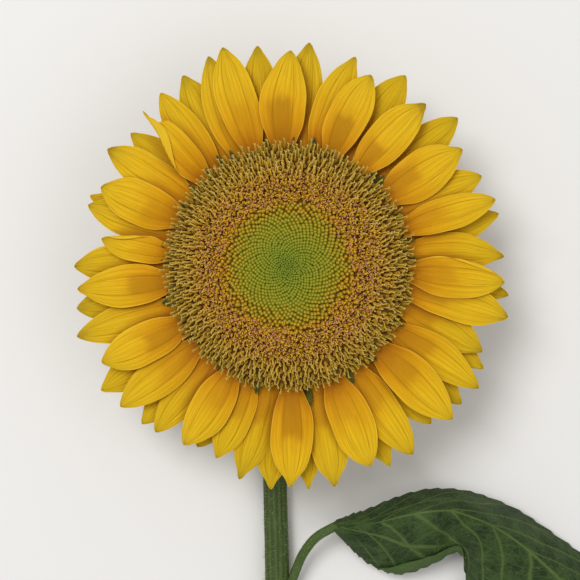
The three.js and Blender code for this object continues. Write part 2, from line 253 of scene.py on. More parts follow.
class Blank:
    """A master shape that is modelled with Blender's own tools and then read as a Shape."""

    def __init__(self, primitive: str, **settings: object) -> None:
        """Add the primitive that the work starts from.

        Args:
            primitive: Name of the primitive, such as circle or grid.
            settings: The primitive's own settings.
        """
        bpy.ops.object.select_all(action="DESELECT")
        getattr(bpy.ops.mesh, f"primitive_{primitive}_add")(**settings)
        self.body = bpy.context.object

    @contextmanager
    def edited(self) -> Iterator[None]:
        """Stay in edit mode, choosing points, for the lines inside.

        Returns:
            Nothing to work with, once.
        """
        bpy.ops.object.mode_set(mode="EDIT")
        bpy.ops.mesh.select_mode(type="VERT")
        yield
        bpy.ops.object.mode_set(mode="OBJECT")

    def select(self, test: Callable[[Array], bool]) -> None:
        """Select the points that pass a test on their place, and what lies between them.

        Args:
            test: Takes a point in mm and says whether it is selected.
        """
        bpy.ops.mesh.select_mode(type="VERT")
        bpy.ops.mesh.select_all(action="DESELECT")
        net = bmesh.from_edit_mesh(self.body.data)
        for vertex in net.verts:
            vertex.select = bool(test(np.array(vertex.co)))
        net.select_flush(True)
        bmesh.update_edit_mesh(self.body.data)

    def grow(self, rings: list[tuple[float, float]]) -> None:
        """Draw the selected ring on through further rings.

        Args:
            rings: Radius and height of each ring; the first is where the ring is now.
        """
        for (radius, height), (wider, higher) in zip(rings, rings[1:]):
            bpy.ops.mesh.extrude_region_move(
                TRANSFORM_OT_translate={"value": (0, 0, higher - height)}
            )
            scale = wider / radius
            bpy.ops.transform.resize(value=(scale, scale, 1), center_override=(0, 0, higher))

    def close(self) -> None:
        """Fill the selected ring with a fan."""
        bpy.ops.mesh.edge_face_add()
        bpy.ops.mesh.poke()

    def close_foot(self) -> None:
        """Fill the ring at height 0 that the shape stands on."""
        self.select(lambda p: p[2] < 0.001)
        bpy.ops.mesh.edge_face_add()

    def modified(self, kind: str, **settings: object) -> None:
        """Add a modifier and apply it.

        Args:
            kind: The modifier's type.
            settings: The modifier's own settings.
        """
        modifier = self.body.modifiers.new(kind.lower(), kind)
        for key, value in settings.items():
            setattr(modifier, key, value)
        bpy.ops.object.modifier_apply(modifier=modifier.name)

    def taken(self) -> Shape:
        """Read the finished shape, facing outwards, and clear it away.

        Returns:
            Its points and triangles, with each point's share of the height as "rise".
        """
        mesh = self.body.data
        mesh.calc_loop_triangles()
        points = np.empty(len(mesh.vertices) * 3)
        mesh.vertices.foreach_get("co", points)
        corners = np.empty(len(mesh.loop_triangles) * 3, np.int32)
        mesh.loop_triangles.foreach_get("vertices", corners)
        points, corners = points.reshape(-1, 3), corners.reshape(-1, 3)
        a, b, c = (points[corners[:, k]] for k in range(3))
        if np.sum(a * np.cross(b, c)) < 0:
            corners = corners[:, ::-1]
        points, corners = ordered(points, corners)
        low, high = points[:, 2].min(), points[:, 2].max()
        bpy.data.objects.remove(self.body)
        bpy.data.meshes.remove(mesh)
        return Shape(points, corners, {"rise": (points[:, 2] - low) / (high - low + 1e-9)})


def sheet(rows: int, columns: int) -> Shape:
    """Model the flat blank of a petal, bract or leaf.

    Args:
        rows: Steps along it.
        columns: Steps across it.

    Returns:
        A closed sheet with "along" from 0 to 1, "across" from -1 to 1 and "face" -1 or 1.
    """
    blank = Blank("grid", x_subdivisions=rows, y_subdivisions=columns, size=2)
    blank.modified("SOLIDIFY", thickness=2, offset=0)
    shape = blank.taken()
    along, across, face = shape.points.T
    shape.values = {"along": (along + 1) / 2, "across": across.copy(), "face": face.copy()}
    return shape


def laid(blank: Shape, surface: Surface, half_thickness: float, **numbers: float) -> Shape:
    """Lay a flat blank on a surface.

    Args:
        blank: What sheet() made.
        surface: Gives the points for shares along and across.
        half_thickness: Half the thickness, in mm.
        numbers: Named numbers for the whole shape.

    Returns:
        The curved sheet.
    """
    along, across, face = (blank.values[k] for k in ("along", "across", "face"))
    step = 0.004
    ahead = surface(np.minimum(along + step, 1), across)
    behind = surface(np.maximum(along - step, 0), across)
    left = surface(along, np.minimum(across + step, 1))
    right = surface(along, np.maximum(across - step, -1))
    normal = unit(np.cross(ahead - behind, left - right))
    points = surface(along, across) + normal * (face * half_thickness)[:, None]
    values = {"along": along, "across": across, "face": face}
    return Shape(points, blank.triangles, values).marked(**numbers)


def spike(sides: int, rings: list[tuple[float, float]]) -> Shape:
    """Model a round tapering body that stands on its foot.

    Args:
        sides: Number of sides.
        rings: Radius and height of each ring from the foot up.

    Returns:
        The closed body.
    """
    blank = Blank("circle", vertices=sides, radius=rings[0][0], location=(0, 0, 0))
    with blank.edited():
        bpy.ops.mesh.select_all(action="SELECT")
        blank.grow([(rings[0][0], 0), *rings[1:]])
        blank.close()
        blank.close_foot()
    return blank.taken()


def sprinkled(shape: Shape, count: int, rng: np.random.Generator) -> tuple[Array, Array]:
    """Pick points evenly over a shape's surface.

    Args:
        shape: The shape to pick from.
        count: How many points.
        rng: Source of the random numbers.

    Returns:
        The points and their outward directions.
    """
    corners = shape.points[shape.triangles]
    normals = np.cross(corners[:, 1] - corners[:, 0], corners[:, 2] - corners[:, 0])
    areas = np.linalg.norm(normals, axis=1)
    picks = rng.choice(len(areas), count, p=areas / areas.sum())
    a, b = rng.random((2, count))
    fold = a + b > 1
    a, b = np.where(fold, 1 - a, a)[:, None], np.where(fold, 1 - b, b)[:, None]
    picked = corners[picks]
    points = picked[:, 0] + a * (picked[:, 1] - picked[:, 0]) + b * (picked[:, 2] - picked[:, 0])
    return points, unit(normals[picks])


def hairs(
    shape: Shape, count: int, length: float, radius: float, seed: int, lean: float = 0.5
) -> Shape:
    """Cover a shape with short hairs.

    Args:
        shape: The shape that they stand on.
        count: How many hairs.
        length: Their mean length, in mm.
        radius: Radius of a hair at its foot, in mm.
        seed: Seed of the random numbers.
        lean: How far the hairs stray from straight up.

    Returns:
        All the hairs, with "rise" from foot to tip and "tone" for each.
    """
    blank = Blank("cone", vertices=3, radius1=1, radius2=0, depth=1, location=(0, 0, 0))
    hair = blank.taken()
    hair.points[:, 2] += 0.5
    rng = np.random.default_rng(seed)
    feet, normals = sprinkled(shape, count, rng)
    up = unit(normals + lean * rng.normal(size=(count, 3)))
    side = unit(np.cross(up, rng.normal(size=(count, 3))))
    axes = np.stack([side, np.cross(up, side), up], axis=1)
    lengths = length * rng.uniform(0.5, 1.5, count)
    sizes = np.stack([np.full(count, radius), np.full(count, radius), lengths], axis=1)
    local = hair.points[None] * sizes[:, None]
    points = np.einsum("kni,kij->knj", local, axes) + (feet - 0.05 * normals)[:, None]
    return hair.copied(points, {"tone": rng.random(count)})


@dataclass(frozen=True)
class Seat:
    """Where the head sits in the model's frame, in mm."""

    x: float
    y: float
    z: float

    @classmethod
    def found(cls) -> "Seat":
        """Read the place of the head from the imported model.

        Returns:
            The seat of the head.
        """
        low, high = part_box("disc_buds")
        middle = (low + high) / 2 / MM
        return cls(middle.x, middle.y, low.z / MM - DISC_BASE)

    def piece(
        self, name: str, shape: Shape, finish: bpy.types.Material, slot: str, *nodes: str
    ) -> bpy.types.Object:
        """Turn a shape into a finished piece of the scene.

        Args:
            name: Name of the piece.
            shape: Its shape about the middle of the head.
            finish: Its material.
            slot: Name of a material slot; not used.
            nodes: The model's nodes that it stands for.

        Returns:
            The new object, at the origin, with its place in its mesh.
        """
        mesh = bpy.data.meshes.new(name)
        points = (shape.points + np.array([self.x, self.y, self.z])) * MM
        mesh.from_pydata(points.tolist(), [], shape.triangles.tolist())
        for key, numbers in shape.values.items():
            layer = mesh.attributes.new(key, "FLOAT", "POINT")
            layer.data.foreach_set("value", numbers.astype(np.float32))
        mesh.materials.append(finish)
        body = bpy.data.objects.new(name, mesh)
        bpy.context.collection.objects.link(body)
        bpy.ops.object.select_all(action="DESELECT")
        body.select_set(True)
        bpy.context.view_layer.objects.active = body
        bpy.ops.object.shade_smooth_by_angle(angle=np.radians(50))
        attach(body, "root")
        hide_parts(*nodes)
        log.info("%s: %d triangles", name, len(shape.triangles))
        return body


# Finishes


class Signal:
    """A number inside a finish, with the arithmetic that the finishes use."""

    def __init__(self, paint: "Paint", socket: bpy.types.NodeSocket) -> None:
        """Wrap a socket of the finish."""
        self.paint = paint
        self.socket = socket

    def _math(self, operation: str, *operands: "Signal | float") -> "Signal":
        """Add the Math node of an operation."""
        return self.paint.node("Math", {"operation": operation}, dict(enumerate(operands)))

    def __add__(self, other: "Signal | float") -> "Signal":
        """Add a number."""
        return self._math("ADD", self, other)

    __radd__ = __add__

    def __sub__(self, other: "Signal | float") -> "Signal":
        """Take a number away."""
        return self._math("SUBTRACT", self, other)

    def __rsub__(self, other: float) -> "Signal":
        """Take this away from a number."""
        return self._math("SUBTRACT", other, self)

    def __mul__(self, other: "Signal | float") -> "Signal":
        """Multiply by a number."""
        return self._math("MULTIPLY", self, other)

    __rmul__ = __mul__

    def __pow__(self, other: float) -> "Signal":
        """Raise to a power."""
        return self._math("POWER", self, other)

    def __abs__(self) -> "Signal":
        """Drop the sign."""
        return self._math("ABSOLUTE", self)

    def wave(self, cycles: float) -> "Signal":
        """Swing between 0 and 1 as this runs through a number of cycles."""
        return self._math("SINE", self * (2 * np.pi * cycles)) * 0.5 + 0.5

    def steps(self, start: float, end: float) -> "Signal":
        """Rise softly from 0 to 1.

        Args:
            start: Value where the rise starts.
            end: Value where it ends.

        Returns:
            The mask, clamped to 0 and 1.
        """
        settings = {"interpolation_type": "SMOOTHSTEP"}
        if start < end:
            return self.paint.node("MapRange", settings, {0: self, 1: start, 2: end})
        return 1 - self.paint.node("MapRange", settings, {0: self, 1: end, 2: start})

    def ridge(self, centre: float, width: float) -> "Signal":
        """Peak softly at 1 over a value, and fall to 0 at a width to either side."""
        return abs(self - centre).steps(width, 0)


Value = Signal | float | tuple


class Paint:
    """The node tree of one finish."""

    def __init__(self, name: str) -> None:
        """Start an empty material.

        Args:
            name: Name of the material.
        """
        self.material = bpy.data.materials.new(name)
        self.material.use_nodes = True
        self.tree = self.material.node_tree
        self.tree.nodes.clear()

    def node(
        self,
        kind: str,
        settings: dict[str, object] | None = None,
        values: dict[str | int, Value] | None = None,
        output: str | int = 0,
    ) -> Signal:
        """Add a node.

        Args:
            kind: Type of the node, without the words in front.
            settings: Its settings; "stops" sets a ramp's places and colours.
            values: Numbers, colours or links for its sockets.
            output: The socket to go on from.

        Returns:
            That socket.
        """
        made = self.tree.nodes.new(f"ShaderNode{kind}")
        for key, value in (settings or {}).items():
            if key == "stops":
                self._set_stops(made.color_ramp, value)
            else:
                setattr(made, key, value)
        for key, value in (values or {}).items():
            if isinstance(value, Signal):
                self.tree.links.new(value.socket, made.inputs[key])
            else:
                made.inputs[key].default_value = value
        return Signal(self, made.outputs[output])

    @staticmethod
    def _set_stops(ramp: bpy.types.ColorRamp, stops: Stops) -> None:
        """Give a ramp its places and colours.

        Args:
            ramp: The ramp.
            stops: Its places and colours, in rising order of place.
        """
        while len(ramp.elements) < len(stops):
            ramp.elements.new(1.0)
        for element, (place, code) in zip(ramp.elements, stops):
            element.position = place
            element.color = tint(code)

    def number(self, name: str) -> Signal:
        """Read a named number of the piece."""
        return self.node("Attribute", {"attribute_name": name}, output="Fac")

    def place(self) -> Signal:
        """Read the place on the piece, in metres."""
        return self.node("TexCoord", output="Object")

    def vector(self, x: Value, y: Value, z: Value) -> Signal:
        """Put three numbers together."""
        return self.node("CombineXYZ", None, {0: x, 1: y, 2: z})

    def noise(self, at: Signal, scale: float, detail: float = 3, rough: float = 0.55) -> Signal:
        """Add smooth random mottling.

        Args:
            at: Where it is read.
            scale: How fine it is.
            detail: How many finer layers it has.
            rough: How strong the finer layers are.

        Returns:
            The mottling, about 0.5.
        """
        values = {"Vector": at, "Scale": scale, "Detail": detail, "Roughness": rough}
        return self.node("TexNoise", None, values)

    def ramp(self, at: Signal, stops: Stops) -> Signal:
        """Run a number through a row of colours."""
        return self.node("ValToRGB", {"stops": stops}, {0: at})

    def mix(self, share: Value, first: Value, second: Value) -> Signal:
        """Mix two colours.

        Args:
            share: How much of the second, from 0 to 1.
            first: The first colour.
            second: The second colour.

        Returns:
            The mixed colour.
        """
        settings = {"data_type": "RGBA", "clamp_factor": True}
        return self.node("Mix", settings, {0: share, 6: first, 7: second}, output=2)

    def bump(self, height: Signal, distance: float, strength: float = 1.0) -> Signal:
        """Turn a height into relief.

        Args:
            height: The height, from 0 to 1.
            distance: What a height of 1 stands for, in metres.
            strength: How strongly it shows.

        Returns:
            The normal to feed a surface with.
        """
        values = {"Strength": strength, "Distance": distance, "Height": height}
        return self.node("Bump", None, values)

    def surface(self, colour: Signal, normal: Signal, **values: Value) -> Signal:
        """Add the main surface.

        Args:
            colour: Base colour.
            normal: Normal from a bump.
            values: Its other sockets, with underscores for blanks.

        Returns:
            The surface.
        """
        sockets = {key.replace("_", " "): value for key, value in values.items()}
        return self.node(
            "BsdfPrincipled", None, {"Base Color": colour, "Normal": normal, **sockets}
        )

    def glowing(self, surface: Signal, through: str, share: float) -> Signal:
        """Let some light shine through a thin surface.

        Args:
            surface: The surface.
            through: Colour of the light that comes through.
            share: How much of it, from 0 to 1.

        Returns:
            The mixed surface.
        """
        veil = self.node("BsdfTranslucent", None, {"Color": tint(through)})
        return self.node("MixShader", None, {0: share, 1: surface, 2: veil})

    def finished(self, surface: Signal) -> bpy.types.Material:
        """Link a surface to the output.

        Args:
            surface: The surface.

        Returns:
            The finished material.
        """
        output = self.tree.nodes.new("ShaderNodeOutputMaterial")
        self.tree.links.new(surface.socket, output.inputs["Surface"])
        return self.material


@dataclass(frozen=True)
class PetalFinish:
    """Silky yellow with fine lengthwise lines, deeper at the foot, greener towards the back."""

    length_colours: tuple = (
        (0.0, "#964e0a"), (0.08, "#b66c0c"), (0.17, "#d08a0e"), (0.29, "#e6a612"),
        (0.44, "#f0b818"), (0.64, "#f6c91f"), (0.85, "#efc722"), (0.95, "#ddbb24"),
        (1.0, "#b89c26"),
    )
    # Painted shade: the darker blotch where bracts behind keep light from shining through the petal.
    stain: str = "#b47a10"
    # Painted shade where a lower petal lies behind this one and lets less light through.
    covered: str = "#cc900a"
    shadow: str = "#8a4a08"
    behind: str = "#d2b81a"
    under: str = "#f6cf38"
    # Painted highlight along the petal's margins.
    rim: str = "#fce04a"
    groove: str = "#96680a"
    notch: str = "#6b5f18"
    glow: str = "#ecb40c"

    def made(self) -> bpy.types.Material:
        """Build the petals' material.

        Returns:
            The material.
        """
        paint = Paint("petal")
        along, across = paint.number("along"), paint.number("across")
        tone, layer = paint.number("tone"), paint.number("layer")
        covered, hidden, face = (paint.number(name) for name in ("covered", "hidden", "face"))
        aside = abs(across)
        streaks = paint.noise(paint.vector(across * 13, along * 1.4, tone * 40), 1, 4, 0.6)
        patches = paint.noise(paint.vector(across * 1.6, along * 3, tone * 90), 1, 2)
        reach = along + (tone - 0.5) * 0.14 + (patches - 0.5) * 0.2
        colour = paint.ramp(reach, list(self.length_colours))
        colour = paint.mix((1 - layer) * along.steps(0.15, 0.6) * 0.5, colour, tint(self.behind))
        # Painted shade over the parts that lie above a lower petal.
        colour = paint.mix(covered * along.steps(0.9, 0.5) * 0.18, colour, tint(self.covered))
        # Painted shade blotch where bracts behind keep light from shining through the petal, with its
        # strength and side set petal by petal.
        shift = abs(across - paint.number("stain_side") + (patches - 0.5) * 0.4)
        spot = along.steps(0.02, 0.15) * reach.steps(0.54, 0.42) * shift.steps(0.66, 0.34)
        spot = spot * paint.number("stain") * (streaks * 0.4 + 0.44)
        colour = paint.mix(spot, colour, tint(self.stain))
        # Painted shadow that the petals above cast near their margins, strongest towards the root.
        colour = paint.mix(hidden * along.steps(1.3, 0.1) * 0.78, colour, tint(self.shadow))
        lines = streaks.steps(0.36, 0.62)
        colour = paint.mix((1 - lines) * 0.24, colour, tint(self.groove))
        ends = along.steps(0.04, 0.2) * along.steps(1.02, 0.8)
        wander = across + (patches - 0.5) * 0.1
        fine = (wander * 4.2 + patches * 0.7 + tone * 0.3).wave(1) ** 11
        fine = fine * ends * streaks.steps(0.35, 0.6) * along.steps(0.2, 0.85)
        groove = aside.ridge(0.43, 0.05) * ends
        seams = fine * 0.7 + groove * (patches * 1.1 - 0.1)
        colour = paint.mix(seams * 0.84, colour, tint(self.groove))
        # Painted highlight along the margins.
        colour = paint.mix(aside.steps(0.93, 1.0) * 0.4, colour, tint(self.rim))
        colour = paint.mix(face.steps(0.3, -0.3) * 0.5, colour, tint(self.under))
        notch = along.steps(0.965, 0.997) * aside.steps(0.8, 0.2)
        colour = paint.mix(notch * 0.35, colour, tint(self.notch))
        height = lines * 0.35 + (1 - groove) * 0.4 + (1 - fine) * 0.25
        skin = paint.surface(
            colour, paint.bump(height, 0.00026, 0.8), Roughness=0.55, Specular_IOR_Level=0.08
        )
        return paint.finished(paint.glowing(skin, self.glow, 0.22))


@dataclass(frozen=True)
class BudFinish:
    """Closed buds: green in the middle, yellower outwards, each with a paler tip."""

    blush: str = "#c88672"
    zones: tuple = (
        (0.0, "#6c801f"), (0.12, "#7d8a1c"), (0.36, "#908a18"), (0.47, "#a28616"),
        (0.57, "#ae7e10"), (0.70, "#b0740c"),
    )
    tips: tuple = (
        (0.0, "#869046"), (0.12, "#969c3e"), (0.36, "#aca43e"), (0.47, "#c4aa3c"),
        (0.57, "#daac38"), (0.70, "#dea644"),
    )
    # Painted shade at the foot of each bud, down between the buds.
    foot_shade: str = "#646000"
    # Painted shade in the gaps between the buds.
    gap_shade: str = "#3a2600"
    glow: str = "#8a9a20"

    def made(self) -> bpy.types.Material:
        """Build the buds' material.

        Returns:
            The material.
        """
        paint = Paint("bud")
        zone, rise, tone = paint.number("zone"), paint.number("rise"), paint.number("tone")
        mottle = paint.noise(paint.place(), 900, 2)
        shifted = zone + (tone - 0.5) * 0.12
        colour = paint.mix(
            rise.steps(0.78, 1.0), paint.ramp(shifted, list(self.zones)),
            paint.ramp(shifted, list(self.tips)),
        )
        # Painted shade towards the foot of each bud.
        colour = paint.mix(rise.steps(0.6, 0.35) * 0.7, colour, tint(self.foot_shade))
        # Painted shade in random gaps between the outer buds, low on the buds.
        shaded_gaps = paint.noise(paint.place(), 800, 1).steps(0.54, 0.66) * zone.steps(0.34, 0.5)
        colour = paint.mix(shaded_gaps * rise.steps(0.75, 0.5), colour, tint(self.gap_shade))
        blush = tone.steps(0.6, 0.85) * zone.steps(0.5, 0.62) * rise.steps(0.6, 0.9)
        colour = paint.mix(blush * 0.65, colour, tint(self.blush))
        skin = paint.surface(
            colour, paint.bump(mottle, 0.0001, 0.4), Roughness=0.55, Specular_IOR_Level=0.15
        )
        return paint.finished(paint.glowing(skin, self.glow, 0.12))


@dataclass(frozen=True)
class FloretFinish:
    """Open florets: yellow lobes, mauve anther tubes and khaki stigmas, each with painted shade
    towards its foot.
    """

    blush: str = "#d29682"
    lobe: tuple = ((0.5, "#f0c228"), (0.7, "#ecc032"), (0.85, "#dcb830"), (1.0, "#c2aa30"))
    anther: tuple = ((0.5, "#e0a05c"), (0.72, "#d89a64"), (0.85, "#cc9a50"), (1.0, "#a88634"))
    stigma: tuple = ((0.55, "#eeb638"), (0.75, "#e8bc3e"), (0.88, "#d2ae3a"), (1.0, "#b09a38"))
    stigma_tip: str = "#dec66e"
    # Painted shade towards the foot of the lobes, anthers and stigmas.
    foot_shade: str = "#965600"
    grain: str = "#7a5a14"
    glow: str = "#c89a20"

    def made(self) -> bpy.types.Material:
        """Build the florets' material.

        Returns:
            The material.
        """
        paint = Paint("floret")
        zone, rise, tone = paint.number("zone"), paint.number("rise"), paint.number("tone")
        organ = paint.number("organ")
        shifted = zone + (tone - 0.5) * 0.12
        lobe = paint.ramp(shifted, list(self.lobe))
        # Painted shade towards the foot of the lobes and anthers.
        lobe = paint.mix(rise.steps(0.7, 0.2), lobe, tint(self.foot_shade))
        anther = paint.ramp(shifted, list(self.anther))
        anther = paint.mix(rise.steps(0.5, 0.1), anther, tint(self.foot_shade))
        patches = paint.noise(paint.place(), 110, 1)
        blush = (tone * 0.6 + patches).steps(0.65, 0.95) * zone.steps(0.86, 0.7)
        anther = paint.mix(blush * rise.steps(0.3, 0.7) * 0.85, anther, tint(self.blush))
        stigma = paint.mix(
            rise.steps(0.45, 0.95) * (tone * 0.6 + 0.3), paint.ramp(shifted, list(self.stigma)),
            tint(self.stigma_tip),
        )
        # Painted shade towards the foot of the stigmas.
        stigma = paint.mix(rise.steps(0.5, 0.05) * 0.85, stigma, tint(self.foot_shade))
        colour = paint.mix(organ.steps(0.2, 0.3), lobe, anther)
        colour = paint.mix(organ.steps(0.7, 0.8), colour, stigma)
        grain = paint.noise(paint.place(), 1500, 2)
        colour = paint.mix(0.16 * grain, colour, tint(self.grain))
        skin = paint.surface(
            colour, paint.bump(grain, 0.00008, 0.5), Roughness=0.6, Specular_IOR_Level=0.12
        )
        return paint.finished(paint.glowing(skin, self.glow, 0.15))


@dataclass(frozen=True)
class PitFinish:
    """The dark ground between the florets."""

    dark: str = "#4a2a00"
    light: str = "#744a04"

    def made(self) -> bpy.types.Material:
        """Build the ground's material.

        Returns:
            The material.
        """
        paint = Paint("disc_ground")
        mottle = paint.noise(paint.place(), 700, 3)
        colour = paint.mix(mottle.steps(0.35, 0.65), tint(self.dark), tint(self.light))
        skin = paint.surface(colour, paint.bump(mottle, 0.0004), Roughness=0.9)
        return paint.finished(skin)


@dataclass(frozen=True)
class GreenFinish:
    """Green skin with lengthwise veins and fine mottling, for the back, the bracts and the scales."""

    name: str
    deep: str
    fresh: str
    vein: str

    def made(self) -> bpy.types.Material:
        """Build the green skin's material.

        Returns:
            The material.
        """
        paint = Paint(self.name)
        along, across, tone = paint.number("along"), paint.number("across"), paint.number("tone")
        mottle = paint.noise(paint.place(), 260, 4, 0.6)
        streaks = paint.noise(paint.vector(across * 9, along * 2, tone * 30), 1, 3)
        mottled = (mottle * 0.6 + streaks * 0.4).steps(0.35, 0.65)
        colour = paint.mix(mottled, tint(self.deep), tint(self.fresh))
        rib = abs(across).ridge(0, 0.07) + abs(across).ridge(0.45, 0.05) * 0.6
        rib = rib * along.steps(1.0, 0.7)
        colour = paint.mix(rib * 0.6, colour, tint(self.vein))
        colour = paint.mix((tone - 0.5) * 0.3, colour, tint(self.fresh))
        height = mottle * 0.5 + streaks * 0.5 + rib * 0.4
        skin = paint.surface(
            colour, paint.bump(height, 0.0004, 0.6), Roughness=0.62, Specular_IOR_Level=0.15
        )
        return paint.finished(paint.glowing(skin, self.fresh, 0.06))


@dataclass(frozen=True)
class StemFinish:
    """Ribbed green stem with paler ridges, purple-brown flecks and a pale cut end."""

    deep: str = "#33421f"
    fresh: str = "#50632f"
    rind: str = "#667a3c"
    pith: str = "#e6e2c8"
    fleck: str = "#4a3a24"
    grain: str = "#b9a878"

    def made(self) -> bpy.types.Material:
        """Build the stem's material.

        Returns:
            The material.
        """
        paint = Paint("stem")
        around, along, cut = paint.number("around"), paint.number("along"), paint.number("cut")
        place = paint.place()
        ribs = around.wave(STEM_RIBS)
        mottle = paint.noise(place, 420, 4, 0.6)
        long_mottle = paint.noise(paint.vector(around * 24, along * 9, 0.0), 1, 3)
        colour = paint.mix(
            (ribs * 0.14 + long_mottle * 0.5 + mottle * 0.4).steps(0.35, 0.72),
            tint(self.deep), tint(self.fresh),
        )
        flecks = paint.noise(place, 1300, 1).steps(0.66, 0.72)
        colour = paint.mix(flecks * 0.5, colour, tint(self.fleck))
        wood = paint.mix(cut.steps(0.70, 0.62), tint(self.rind), tint(self.pith))
        grain = paint.noise(place, 1600, 3).steps(0.4, 0.7)
        wood = paint.mix(grain * 0.3, wood, tint(self.grain))
        colour = paint.mix(cut.steps(1.5, 1.2), colour, wood)
        height = ribs * 0.5 + mottle * 0.3 + long_mottle * 0.2
        skin = paint.surface(
            colour, paint.bump(height, 0.0005, 0.6), Roughness=0.55, Specular_IOR_Level=0.2
        )
        return paint.finished(skin)


@dataclass(frozen=True)
class HairFinish:
    """Pale bristles."""

    foot: str = "#8fa05c"
    tip: str = "#cfd2b0"

    def made(self) -> bpy.types.Material:
        """Build the bristles' material.

        Returns:
            The material.
        """
        paint = Paint("bristle")
        rise, tone = paint.number("rise"), paint.number("tone")
        colour = paint.mix(rise * (tone * 0.5 + 0.5), tint(self.foot), tint(self.tip))
        grain = paint.noise(paint.place(), 2000, 1)
        skin = paint.surface(colour, paint.bump(grain, 0.00003, 0.3), Roughness=0.45)
        return paint.finished(paint.glowing(skin, self.tip, 0.2))


@dataclass(frozen=True)
class LeafFinish:
    """Rough green leaf with a net of paler veins."""

    deep: str = "#22341b"
    fresh: str = "#3b502a"
    vein: str = "#5a7038"
    under: str = "#566f3a"
    glow: str = "#8aa83c"

    def made(self) -> bpy.types.Material:
        """Build the leaf's material.

        Returns:
            The material.
        """
        paint = Paint("leaf")
        along, across, face = paint.number("along"), paint.number("across"), paint.number("face")
        aside = abs(across)
        place = paint.place()
        mottle = paint.noise(place, 160, 4, 0.6)
        cells = paint.node(
            "TexVoronoi", {"feature": "DISTANCE_TO_EDGE"}, {"Vector": place, "Scale": 420}, "Distance"
        )
        net = cells.steps(0.12, 0.02)
        veins = self._veins(paint, along, aside)
        colour = paint.mix(mottle.steps(0.35, 0.65), tint(self.deep), tint(self.fresh))
        colour = paint.mix(net * 0.22, colour, tint(self.vein))
        colour = paint.mix(veins * 0.75, colour, tint(self.vein))
        colour = paint.mix(face.steps(-0.2, -0.6) * 0.6, colour, tint(self.under))
        height = (1 - net) * 0.25 + (1 - veins) * 0.6 + mottle * 0.15
        skin = paint.surface(
            colour, paint.bump(height, 0.0007, 0.8), Roughness=0.6, Specular_IOR_Level=0.16
        )
        return paint.finished(paint.glowing(skin, self.glow, 0.08))

    @staticmethod
    def _veins(paint: Paint, along: Signal, aside: Signal) -> Signal:
        """Draw the midrib, the two main veins beside it and the slanting side veins.

        Args:
            paint: The finish being built.
            along: Share along the leaf.
            aside: Share from the midrib to the margin.

        Returns:
            The mask of the veins.
        """
        midrib = aside.steps(0.035, 0.012)
        waviness = paint.noise(paint.place(), 60, 2) * 0.05
        slant = along - aside * 0.22 + waviness
        side = (slant.wave(11) ** 18) * aside.steps(0.99, 0.8) * along.steps(0.08, 0.16)
        second = (slant + aside * 0.5).wave(34) ** 14 * 0.35
        main = abs(aside - along * 1.5 - 0.02).steps(0.04, 0.01) * along.steps(0.42, 0.3)
        return paint.node("Math", {"operation": "MAXIMUM", "use_clamp": True}, {
            0: paint.node("Math", {"operation": "MAXIMUM"}, {0: midrib, 1: main}),
            1: paint.node("Math", {"operation": "MAXIMUM"}, {0: side, 1: second}),
        })


@dataclass(frozen=True)
class FloorFinish:
    """Plain pale floor."""

    colour: tuple = (0.79, 0.78, 0.76, 1)

    def made(self) -> bpy.types.Material:
        """Build the floor's material.

        Returns:
            The material.
        """
        paint = Paint("floor")
        skin = paint.node("BsdfPrincipled", None, {"Base Color": self.colour, "Roughness": 0.9})
        return paint.finished(skin)


# The flower


# Share along a petal, and its width there as a share of the full width

PETAL_OUTLINE = [
    (0, 0.36), (0.11, 0.54), (0.30, 0.89), (0.48, 1.0), (0.66, 0.95), (0.80, 0.74), (0.90, 0.48),
    (0.955, 0.27), (0.985, 0.14), (1.0, 0.03),
]
NEIGHBOUR_ANGLE = 16


class Layer(Enum):
    """The petals' layers, each with the layers of the model that it gathers."""

    BACK = (0, 1)
    MIDDLE = (2, 3)
    FRONT = (4,)


@dataclass(frozen=True)
class Petal:
    """One ray petal: angles of tip and root, reach of the tip, half-width, layer, twist and fold.

    The fold is the share of the half-width that is folded over, on the side that its sign says.
    """

    tip: float
    root: float
    reach: float
    half_width: float
    layer: int
    twist: float = 0
    fold: float = 0

    def inside(self, plan: Array) -> Array:
        """Say how far inside the petal's outline some plan points lie.

        Args:
            plan: The points.

        Returns:
            The distance to the margin in mm, below 0 outside.
        """
        root, tip = polar(ROOT_RADIUS, self.root), polar(self.reach, self.tip)
        length = np.linalg.norm(tip - root)
        ahead = (tip - root) / length
        along = (plan - root) @ ahead / length
        aside = np.abs((plan - root) @ np.array([-ahead[1], ahead[0]]))
        half = self.half_width * smooth_curve(PETAL_OUTLINE, along)
        return np.minimum(half - aside, (1 - along) * length)

    def overlap(self, plan: Array, others: list["Petal"], above: bool, margin: float) -> Array:
        """Say where the petals above or below this one lie or come close.

        Args:
            plan: Plan points of this petal.
            others: All petals.
            above: Whether the petals above count, or else those below.
            margin: How far outside their margin they count, in mm.

        Returns:
            From 0, far from them, to 1, well inside.
        """
        share = np.zeros(len(plan))
        for other in others:
            gap = abs((other.root - self.root + 180) % 360 - 180)
            rise = other.layer - self.layer
            if gap < NEIGHBOUR_ANGLE and (rise > 0 if above else rise < 0):
                share = np.maximum(share, smooth_step(other.inside(plan), -margin, 1.1))
        return share


